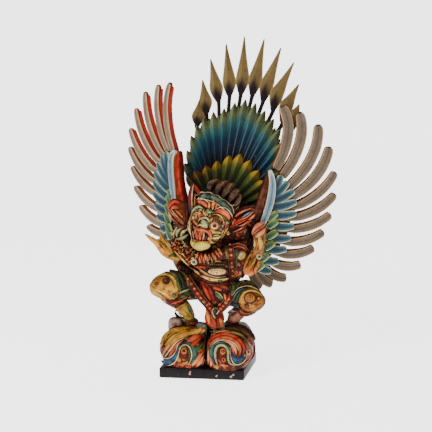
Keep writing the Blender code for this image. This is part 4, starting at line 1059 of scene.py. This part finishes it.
# Round ornaments as they are seen: x and y, then each ring's paint, rise, half width and half height
BEADS = {
    "rock": (
        (184, 353.6, ("wine", 2, 4.6, 7)),
        (184, 351, ("orange", 3.4, 3.2, 3.3), ("wine", 4.6, 2.1, 2.1), ("black", 5.6, 1.2, 1.3)),
        (184, 358.6, ("rust", 3.2, 2.8, 2.6)), (184, 359, ("olive", 4.4, 1.3, 1.2)),
        (222.6, 354.6, ("wine", 2, 4.3, 7.6)),
        (223, 351.4, ("orange", 3.4, 3.1, 3.2), ("wine", 4.6, 2, 2), ("coral", 5.6, 1, 1.1)),
        (223.6, 359.6, ("orange", 3.4, 2.6, 2.7), ("wine", 4.6, 1.3, 1.4)),
        (247.6, 352, ("salmon", 3, 2.8, 3.2), ("wine", 4.2, 1.5, 1.8)),
    ),
    "legs": (
        (166, 281, ("brown", 1.2, 4, 3.8), ("rust", 2.6, 1.3, 1.3)),
        (156.6, 283.6, ("brown", 1.4, 2.5, 1.9), ("rust", 2, 1.2, 0.9)),
        (174, 295, ("amber", 1.8, 3.8, 3.8), ("green", 3, 2.7, 2.8), ("olive", 4.2, 1.1, 1.2)),
        (163.6, 289.4, ("rust", 1.4, 1, 0.8)), (168.6, 291.6, ("rust", 1.4, 0.9, 0.9)),
        (250, 298, ("brown", 1.4, 6.2, 5.8), ("amber", 2.4, 5, 4.7), ("brown", 3, 3.8, 3.5),
         ("orange", 3.6, 2.9, 2.7), ("wine", 4.4, 1.9, 1.8), ("amber", 5.2, 0.9, 0.9)),
        (258.6, 298.6, ("brown", 1.4, 2.4, 2.6), ("orange", 2.4, 1.4, 1.5)),
        (247, 305.4, ("brown", 1.4, 2.6, 2.4), ("rust", 2.4, 1.5, 1.4)),
        (255.6, 304.6, ("rust", 1.4, 1.2, 1)),
    ),
    "front": (
        (217.2, 271.4, ("wine", 2.6, 11.2, 5.2), ("cream", 4, 9.6, 3.9)),
        (217.6, 271.6, ("butter", 4.8, 6.4, 2.5)), (211.4, 270.6, ("brown", 5.2, 0.9, 0.9)),
        (216.8, 272.6, ("brown", 5.6, 1.3, 1.1)), (222.4, 270.6, ("brown", 5.2, 0.9, 0.9)),
        (201.4, 274.4, ("green", 5.4, 2.3, 1.5)), (220, 280.8, ("green", 5.6, 2.7, 1.2)),
        (210, 279.2, ("green", 5.2, 1.3, 0.9)),
        (194.2, 261.6, ("cream", 5, 3.4, 3.4), ("teal", 6.4, 2.2, 2.2)),
        (241, 254.6, ("brown", 3.4, 6.4, 7.4)), (241, 254.2, ("butter", 5.6, 4.9, 6)),
        (240.6, 253, ("cream", 7.6, 2.6, 3.2)), (231, 292.4, ("cream", 5, 3.2, 3.4), ("green", 6.6, 2, 2.1)),
        (208.6, 304, ("coral", 4.4, 2.2, 1.6)), (220.6, 305, ("coral", 4.4, 2.4, 1.8)),
        (226.6, 247, ("olive", 3, 2.2, 2)),
    ),
    "head": (
        (209, 211.6, ("sage", 5, 3.1, 3)), (209.6, 212, ("green", 7, 1.3, 1.3)),
        (196.3, 216, ("cream", 5, 2.8, 3.7)), (196.1, 216, ("orange", 6.4, 2, 2.7)),
        (195.9, 216, ("black", 7.6, 1.2, 1.7)), (214.2, 224.6, ("brown", 4.6, 7, 6.8), ("amber", 6, 6, 5.8)),
        (214.2, 224.8, ("dark", 7, 5.2, 5.1), ("cream", 8.4, 4.5, 4.4), ("salmon", 9.6, 3.5, 3.4)),
        (214.2, 224.9, ("black", 11, 2.5, 2.5)), (213.8, 224.2, ("rust", 12, 0.8, 0.8)),
        (201.9, 245.2, ("pale_yellow", 4, 8.6, 4.8)), (206, 245.2, ("olive", 6, 2.5, 1.6)),
        (199.2, 227.8, ("black", 5, 0.8, 0.7)), (227.4, 231.8, ("brown", 4, 4.2, 4), ("butter", 5.4, 3.1, 3)),
        (227.6, 232, ("olive", 6.8, 1.5, 1.4)),
    ),
    "arms": (
        (258.6, 256.8, ("cream", 4, 2.9, 2.9), ("green", 5.4, 1.9, 1.9), ("brown", 6.4, 0.9, 0.9)),
        (262.8, 256.4, ("sage", 3.6, 1.7, 2.2)), (165.6, 247.6, ("rust", 2.2, 1.1, 1.3)),
        (254.6, 248, ("brown", 3.4, 0.8, 1)),
    ),
}

# Patterned bands: the line along the middle, half width, pitch of the blocks
BANDS = (
    (((187, 277.4), (194, 287.4), (201, 297.6), (208, 305.6), (213, 311.4)), 2.7, 4.4),
    (((244.6, 281.6), (237.4, 289.6), (229.4, 299), (223, 306.4), (218.4, 311.4)), 2.7, 4.4),
    (((230.4, 245), (230.8, 258), (231.8, 271), (233, 287)), 2.9, 4.2),
)

PALETTE = {
    "dark": ((0.040, 0.015, 0.010), (0.085, 0.026, 0.014)),
    "black": ((0.010, 0.008, 0.009), (0.018, 0.014, 0.014)),
    "brown": ((0.110, 0.045, 0.018), (0.055, 0.022, 0.010)),
    "rust": ((0.240, 0.062, 0.020), (0.150, 0.040, 0.014)),
    "wine": ((0.130, 0.014, 0.010), (0.070, 0.010, 0.008)),
    "crimson": ((0.190, 0.010, 0.014), (0.100, 0.010, 0.010)),
    "red": ((0.430, 0.045, 0.016), (0.280, 0.024, 0.010)),
    "coral": ((0.480, 0.120, 0.050), (0.360, 0.055, 0.022)),
    "orange": ((0.540, 0.210, 0.055), (0.420, 0.110, 0.024)),
    "salmon": ((0.580, 0.260, 0.140), (0.500, 0.170, 0.085)),
    "mauve": ((0.300, 0.130, 0.095), (0.190, 0.075, 0.055)),
    "pink_grey": ((0.420, 0.270, 0.230), (0.240, 0.140, 0.120)),
    "gold": ((0.460, 0.250, 0.040), (0.330, 0.150, 0.022)),
    "olive_gold": ((0.370, 0.250, 0.048), (0.240, 0.170, 0.036)),
    "butter": ((0.620, 0.410, 0.110), (0.480, 0.240, 0.050)),
    "pale_yellow": ((0.520, 0.420, 0.090), (0.430, 0.290, 0.050)),
    "cream": ((0.640, 0.500, 0.270), (0.420, 0.280, 0.120)),
    "tan": ((0.300, 0.150, 0.070), (0.160, 0.075, 0.035)),
    "sallow": ((0.360, 0.220, 0.080), (0.280, 0.090, 0.035)),
    "sage": ((0.340, 0.360, 0.190), (0.200, 0.220, 0.110)),
    "olive": ((0.150, 0.130, 0.035), (0.085, 0.075, 0.022)),
    "moss": ((0.045, 0.050, 0.016), (0.022, 0.026, 0.012)),
    "green": ((0.070, 0.130, 0.040), (0.030, 0.060, 0.024)),
    "teal": ((0.045, 0.120, 0.105), (0.012, 0.045, 0.050)),
    "blue": ((0.018, 0.075, 0.130), (0.010, 0.026, 0.065)),
    "navy": ((0.012, 0.028, 0.050), (0.008, 0.014, 0.026)),
    "sea": ((0.110, 0.170, 0.125), (0.030, 0.062, 0.055)),
    "amber": ((0.400, 0.190, 0.032), (0.230, 0.075, 0.016)),
    "hair": ((0.150, 0.085, 0.055), (0.050, 0.030, 0.026)),
    "slate": ((0.200, 0.250, 0.320), (0.110, 0.140, 0.190)),
}


# Carved grounds, and the colours that each one mixes
GROUNDS = {
    "carved_red": ("rust", "red", "coral", "wine", "orange", "olive"),
    "carved_rock": ("rust", "wine", "red", "brown", "amber", "dark"),
    "carved_dark": ("wine", "rust", "brown", "rust", "dark", "tan"),
    "carved_crimson": ("crimson", "wine", "red", "crimson", "rust"),
    "carved_moss": ("moss", "olive", "moss", "black", "green"),
    "carved_ear": ("wine", "rust", "dark", "coral", "mauve"),
    "carved_face": ("butter", "orange", "sallow", "rust", "butter", "sage"),
}


def head_place():
    roll = Matrix.Rotation(radians(HEAD_ROLL), 4, "Y")
    return Matrix.Translation(HEAD_CENTRE) @ roll @ Matrix.Rotation(radians(HEAD_PITCH), 4, "X")


def sight(x, y):
    """The line of sight through a pixel."""
    return RIGHT * ((x - HALF_FRAME) * PIXEL) + UP * ((HALF_FRAME - y) * PIXEL) - BACK * DISTANCE


def seen(x, y, depth):
    """The place that is seen at a pixel, at one depth from front to back."""
    ray = sight(x, y)
    return EYE + ray * ((depth - EYE[1]) / ray[1])


# How far before and behind the middle a place is looked for, where a line of sight misses the skin
SEARCH = 110


class Skin:
    """The outside of some forms, where ornaments are laid as they are seen from the front."""

    def __init__(self, pieces):
        points, faces = [], []
        for piece in pieces:
            first = len(points)
            at = np.empty(len(piece.data.vertices) * 3)
            piece.data.vertices.foreach_get("co", at)
            points.extend(map(tuple, at.reshape(-1, 3) / MM))
            faces.extend(tuple(first + v for v in face.vertices) for face in piece.data.polygons)
        self.tree = BVHTree.FromPolygons(points, faces)

    def find(self, x, y):
        """The place on the skin that is seen there, and the way that the skin faces."""
        ray = Vector(unit(sight(x, y)))
        at, way, _, _ = self.tree.ray_cast(Vector(EYE), ray)
        if at is None:
            near_side, far_side = DISTANCE - SEARCH, DISTANCE + SEARCH
            steps = [Vector(EYE) + ray * reach for reach in np.linspace(near_side, far_side, 56)]
            at = min(steps, key=lambda step: self.tree.find_nearest(step)[3])
            near, way, _, _ = self.tree.find_nearest(at)
            at = near + (at - near) * 0.6
        if way.dot(ray) > 0:
            way = -way
        return at, (way - ray * 0.8).normalized()

    def lay(self, path, rise, paint, blunt=0.5, around=10, sink=0.35):
        """A raised band along a line."""
        path = np.asarray(path, float)
        span = np.hypot(*np.diff(path[:, :2], axis=0).T).sum()
        count = max(4, int(span / 1.8) + 2)
        found = [self.find(x, y) for x, y, _ in line(path, np.linspace(0, 1, count))]
        half = line(path, np.linspace(0, 1, count))[:, 2] * PIXEL
        at = np.array([p for p, _ in found])
        way = np.array([w for _, w in found])
        for _ in range(2):
            at[1:-1] = (at[:-2] + at[1:-1] * 2 + at[2:]) / 4
            way[1:-1] = unit(way[:-2] + way[1:-1] + way[2:])
        at = at + way * (rise * (0.5 - sink / 2))
        keys = np.c_[at, half, np.full(count, rise * (0.5 + sink / 2))]
        return strand(keys, way, around, max(8, int(span / 1.1)), blunt, oval, paint=paint)

    def bead(self, x, y, wide, high, rise, paint):
        """A round boss, half sunk in the skin."""
        at, way = self.find(x, y)
        side = Vector(RIGHT)
        side = (side - way * side.dot(way)).normalized()
        turn = Matrix.Translation(at) @ Matrix((side, way.cross(side), way)).transposed().to_4x4()
        return egg((0, 0, 0), (wide * PIXEL, high * PIXEL, rise), turn, 14, 9, 0.8, paint, True)


def banded(skin, path, half, pitch, finishes):
    """A dark band with a pale line along each edge and small blocks between them, each with a boss."""
    keys = line(path, np.linspace(0, 1, 9))
    ahead = unit(np.gradient(keys, axis=0))
    across = np.c_[-ahead[:, 1], ahead[:, 0]]
    made = [skin.lay(np.c_[keys, np.full(9, half)], 3.4, finishes["wine"], 0.2)]
    for side in (-1, 1):
        edge = keys + across * (side * (half - 0.2))
        made.append(skin.lay(np.c_[edge, np.full(9, 0.4)], 4.6, finishes["tan"], 0.2, 8))
    count = int(np.hypot(*np.diff(keys, axis=0).T).sum() / pitch)
    for n, (x, y) in enumerate(line(keys, (np.arange(count) + 0.5) / count)):
        block = finishes[("rust", "tan", "rust", "red")[n % 4]]
        made.append(skin.bead(x, y, half * 0.78, pitch * 0.44, 5.0, block))
        made.append(skin.bead(x, y, half * 0.36, pitch * 0.24, 6.0, finishes[("salmon", "coral")[n % 2]]))
    return made


def ring(skin, x, y, radius, count, size, rise, paint):
    """Round ornaments in a circle."""
    turns = [n * 2 * pi / count for n in range(count)]
    return [skin.bead(x + radius * cos(a), y + radius * sin(a), size, size, rise, paint) for a in turns]


def gem(front, finishes):
    """The pointed ornament where the straps meet."""
    made = []
    for name, rise, half in (("black", 8, 5.0), ("cream", 9.5, 4.2), ("black", 11, 3.2), ("green", 12, 1.6)):
        high = half * 1.35
        path = ((215.4, 311 - high, 0.4), (215.4, 311, half), (215.4, 311 + high, 0.4))
        made.append(front.lay(path, rise, finishes[name], 0))
    return made


def mesh_of_beads(front, finishes):
    """Three close rows of small beads above the belt."""
    made = []
    for row, y in enumerate((261.6, 264.2, 266.8)):
        paint = finishes["olive" if row % 2 else "brown"]
        made += [front.bead(x, y, 1.0, 1.2, 4.4, paint) for x in np.arange(209.6 + row % 2, 225, 2.1)]
    return made


def necklace(front, finishes):
    """Two rows of pointed leaves below the jaw, each with a pale vein."""
    made = []
    hang = ((187, 247.6), (194.6, 253.4), (204, 256.4), (213, 255), (220, 250))
    leans = ((-2.4, 3.2), (-1.0, 4.4), (0.4, 4.8), (1.6, 4.2), (2.6, 3.0))
    for row, (rise, size) in enumerate(((3.6, 1.0), (5.4, 0.8))):
        for n, share in enumerate((np.arange(11 - row) + 0.5 * row) / 10):
            x, y = line(hang, share)
            y += 2.6 - 2.4 * row
            lean, drop = line(leans, share) * size
            leaf = ((x - lean * 0.5, y - drop * 0.5, 0.7), (x, y, 1.7), (x + lean, y + drop, 0.4))
            paint = finishes[("coral", "red", "salmon", "rust")[(n + row) % 4]]
            made.append(front.lay(leaf, rise, paint))
            vein = ((x - lean * 0.3, y - drop * 0.3, 0.25), (x + lean * 0.7, y + drop * 0.7, 0.2))
            made.append(front.lay(vein, rise + 1.2, finishes["cream"]))
    return made


def curls(front, finishes):
    """Three rows of small curls down the side of the collar."""
    made = []
    slope = ((175.4, 240.6), (180, 247), (186, 253.6), (193.6, 259.6))
    turns = ((0, 2.4, 0.4), (1.4, 2.0, 0.75), (2.9, 1.5, 0.85), (4.4, 0.9, 0.7))
    for row, offset in enumerate((-3.6, 0.2, 4.0)):
        for n, share in enumerate(np.linspace(0.02 + 0.06 * row, 0.98, 7)):
            x, y = line(slope, share) + (offset * 0.75, -offset * 0.6)
            start = n * 2.4 + row
            path = [(x + cos(start + a) * r, y + sin(start + a) * r, half) for a, r, half in turns]
            paint = finishes[("cream", "salmon", "coral", "butter")[(n + row) % 4]]
            made.append(front.lay(path, 4.6, paint))
    return made


# The slab: its corners and height, and the chips on its front as x, y, z and radius
SLAB = {(-1, -1): (-75, -63), (1, -1): (71, -57), (1, 1): (77, 62), (-1, 1): (-70, 64)}
SLAB_HIGH = 18.5
CHIPS = ((-22, -61, 9, 4.2), (-21, -61, 12.5, 3.6), (24, -59.5, 7.5, 4.2), (49, -58.5, 7, 4.6),
         (53, -58.5, 9.5, 4.2))


def plinth():
    """The black slab at the foot: a little out of square, worn round at its edges, cracked and chipped."""
    bpy.ops.mesh.primitive_cube_add(size=1)
    made = bpy.context.object
    for vertex in made.data.vertices:
        x, y = SLAB[round(vertex.co.x * 2), round(vertex.co.y * 2)]
        vertex.co = Vector((x, y, (vertex.co.z + 0.5) * SLAB_HIGH)) * MM
    worn = made.modifiers.new("worn", "BEVEL")
    worn.width = 0.0025
    worn.segments = 3
    bpy.ops.object.modifier_apply(modifier="worn")
    p = Paint("black_slab")
    colour = p.mix((0.012, 0.009, 0.011), (0.022, 0.012, 0.012), p.noise(14, 3).rise(0.4, 0.65))
    ragged = p.noise(3, 3) * 0.005
    for *centre, size in CHIPS:
        given = {0: p.place, 1: Vector(centre) * MM}
        away = p.node("ShaderNodeVectorMath", {"operation": "DISTANCE"}, given, "Value")
        colour = p.mix(colour, (0.42, 0.31, 0.22), (away + ragged).rise(size * MM + 0.0005, size * MM))
    side = p.node("ShaderNodeSeparateXYZ", {}, {"Vector": p.place})
    colour = p.mix(colour, (0.002, 0.001, 0.001), abs(side - 0.003).rise(0.0012, 0.0006))
    made.data.materials.append(p.finish(colour, 0.62, 0.3))
    return made


def named(*kinds):
    """The figure's forms of some kinds."""
    return [name for name in FORMS if name.split("_")[0] in kinds]


LEGS = named("thigh", "knee", "calf", "shin", "ankle", "heel", "ball")
FRONT = ["torso", "apron", "tongue", "collar", "side_right", "side_left", "strap_right", "strap_left",
         "hip_right", "flank_left", "cloth"]
ARMS = ["arm_left", "palm_left", "arm_right", "claw_right"]

# The forms that each set of ornaments is laid on
UNDER = {
    "rock": list(ROCKS),
    "feet": list(ROCKS) + named("foot", "toe", "heel"),
    "legs": LEGS,
    "front": FRONT,
    "arms": ARMS,
    "head": list(HEAD) + ["ear_right"],
    "bun": ["bun", "hair"],
    "ear": ["ear_left", "earlobe_left", "skull"],
    "wing": ["wing_stump"],
}

# The figure's pieces: the forms and the sets of ornaments of each
PIECES = {
    "figure_rock": (list(ROCKS), ["rock"]),
    "figure_legs": (LEGS + named("foot", "toe"), ["legs", "feet"]),
    "figure_body": (FRONT + ["neck", "nape"], ["front"]),
    "figure_arms": (ARMS, ["arms"]),
    "figure_head": (list(HEAD) + ["temple", "ear_left", "earlobe_left", "ear_right"], ["head", "bun", "ear"]),
    "wing_right_shoulder": (["wing_stump"], ["wing"]),
}


def figure_paints():
    """Every finish of the figure, by name."""
    finishes = {name: plain(name, *tones) for name, tones in PALETTE.items()}
    for name, names in GROUNDS.items():
        dim = name in ("carved_dark", "carved_moss", "carved_crimson", "carved_rock")
        tones = [PALETTE[n][0] for n in names]
        finishes[name] = carved(name, tones, 8 if dim else 6, 0.15 if dim else 0.45)
    return finishes


def bare_forms(finishes):
    """The figure, its head and its rock before any ornament is laid on them."""
    base = {}
    for name, (paint, *keys) in FORMS.items():
        facing = (0, 0, 1) if name == "collar" else TO_FRONT
        base[name] = strand(keys, facing, 28, 30, 0.45, paint=finishes[paint])
    for name, (paint, depth, *keys) in FILLS.items():
        keys = [(*seen(x, y, depth), half * PIXEL, half * PIXEL) for x, y, half in keys]
        base[name] = strand(keys, TO_FRONT, 24, 24, 0.45, paint=finishes[paint])
    for name, (paint, *keys) in ROCKS.items():
        base[name] = strand(keys, TO_FRONT, 48, 32, 0.3, cushion, paint=finishes[paint])
    turn = head_place()
    for name, (paint, centre, radii, blunt) in HEAD.items():
        base[name] = egg(centre, radii, turn, 32, 22, blunt, finishes[paint])
    return base


def figure():
    """The figure and its rock with all their ornaments, the slab, and the boss at the root of one wing."""
    finishes = figure_paints()
    base = bare_forms(finishes)
    skins = {name: Skin([base[n] for n in names]) for name, names in UNDER.items()}
    laid = {name: [] for name in UNDER}
    for name, rows in CARVING.items():
        for paint, rise, *path in rows:
            fuller = 1.2 if name == "rock" and max(half for _, _, half in path) > 0.9 else 1
            path = [(x, y, half * fuller) for x, y, half in path]
            laid[name].append(skins[name].lay(path, rise, finishes[paint]))
    for name, rows in BEADS.items():
        for x, y, *rings in rows:
            for paint, rise, wide, high in rings:
                laid[name].append(skins[name].bead(x, y, wide, high, rise, finishes[paint]))
    for path, half, pitch in BANDS:
        laid["front"] += banded(skins["front"], path, half, pitch, finishes)
    for trim in (gem, mesh_of_beads, necklace, curls):
        laid["front"] += trim(skins["front"], finishes)
    laid["legs"] += ring(skins["legs"], 166, 281, 2.6, 6, 0.95, 2.6, finishes["wine"])
    laid["legs"] += ring(skins["legs"], 250, 298, 2.0, 6, 0.7, 4.0, finishes["coral"])
    settle(join("figure_plinth", [plinth()]), ["figure"])
    for name, (names, sets) in PIECES.items():
        made = [base[n] for n in names]
        for trim in sets:
            made += laid[trim]
        settle(join(name, made, 50), [])


bpy.ops.object.select_all(action="DESELECT")
stage()
blue = leaf_feather("blue_covert", (0.022, 0.056, 0.080), (0.125, 0.205, 0.200), (0.58, 0.55, 0.39),
                    (0.02, 0.03, 0.04))
green = leaf_feather("green_scale", (0.030, 0.085, 0.070), (0.190, 0.250, 0.085), (0.55, 0.54, 0.22),
                     (0.03, 0.04, 0.03), -0.15)
leader = long_feather("leader_feather", (0.20, 0.27, 0.31), (0.075, 0.130, 0.210), (0.62, 0.58, 0.42),
                      (0.42, 0.16, 0.06), (0.36, 0.14, 0.05), (0.50, 0.50, 0.40))
back = plain("wing_back", (0.10, 0.04, 0.015))
left_long = long_feather("long_feather_left", (0.170, 0.128, 0.086), (0.112, 0.084, 0.070),
                         (0.44, 0.29, 0.165), (0.22, 0.075, 0.025), (0.16, 0.06, 0.022),
                         (0.060, 0.038, 0.028))
right_long = long_feather("long_feather_right", (0.250, 0.185, 0.130), (0.190, 0.135, 0.115),
                          (0.58, 0.40, 0.24), (0.30, 0.030, 0.010), (0.26, 0.09, 0.030),
                          (0.080, 0.050, 0.035))
left_edge = edge_finish("edge_left", (0.26, 0.085, 0.026), (0.20, 0.075, 0.025))
right_edge = edge_finish("edge_right", (0.34, 0.030, 0.012), (0.26, 0.095, 0.030))
left_spar = plain("spar_left", (0.130, 0.034, 0.018), (0.070, 0.022, 0.014))
right_spar = plain("spar_right", (0.36, 0.035, 0.014), (0.22, 0.02, 0.01))
wing("wing_left", left_long, left_edge, blue, green, leader, left_spar, back)
wing("wing_right", right_long, right_edge, blue, green, leader, right_spar, back)
tail("tail_fan")
figure()
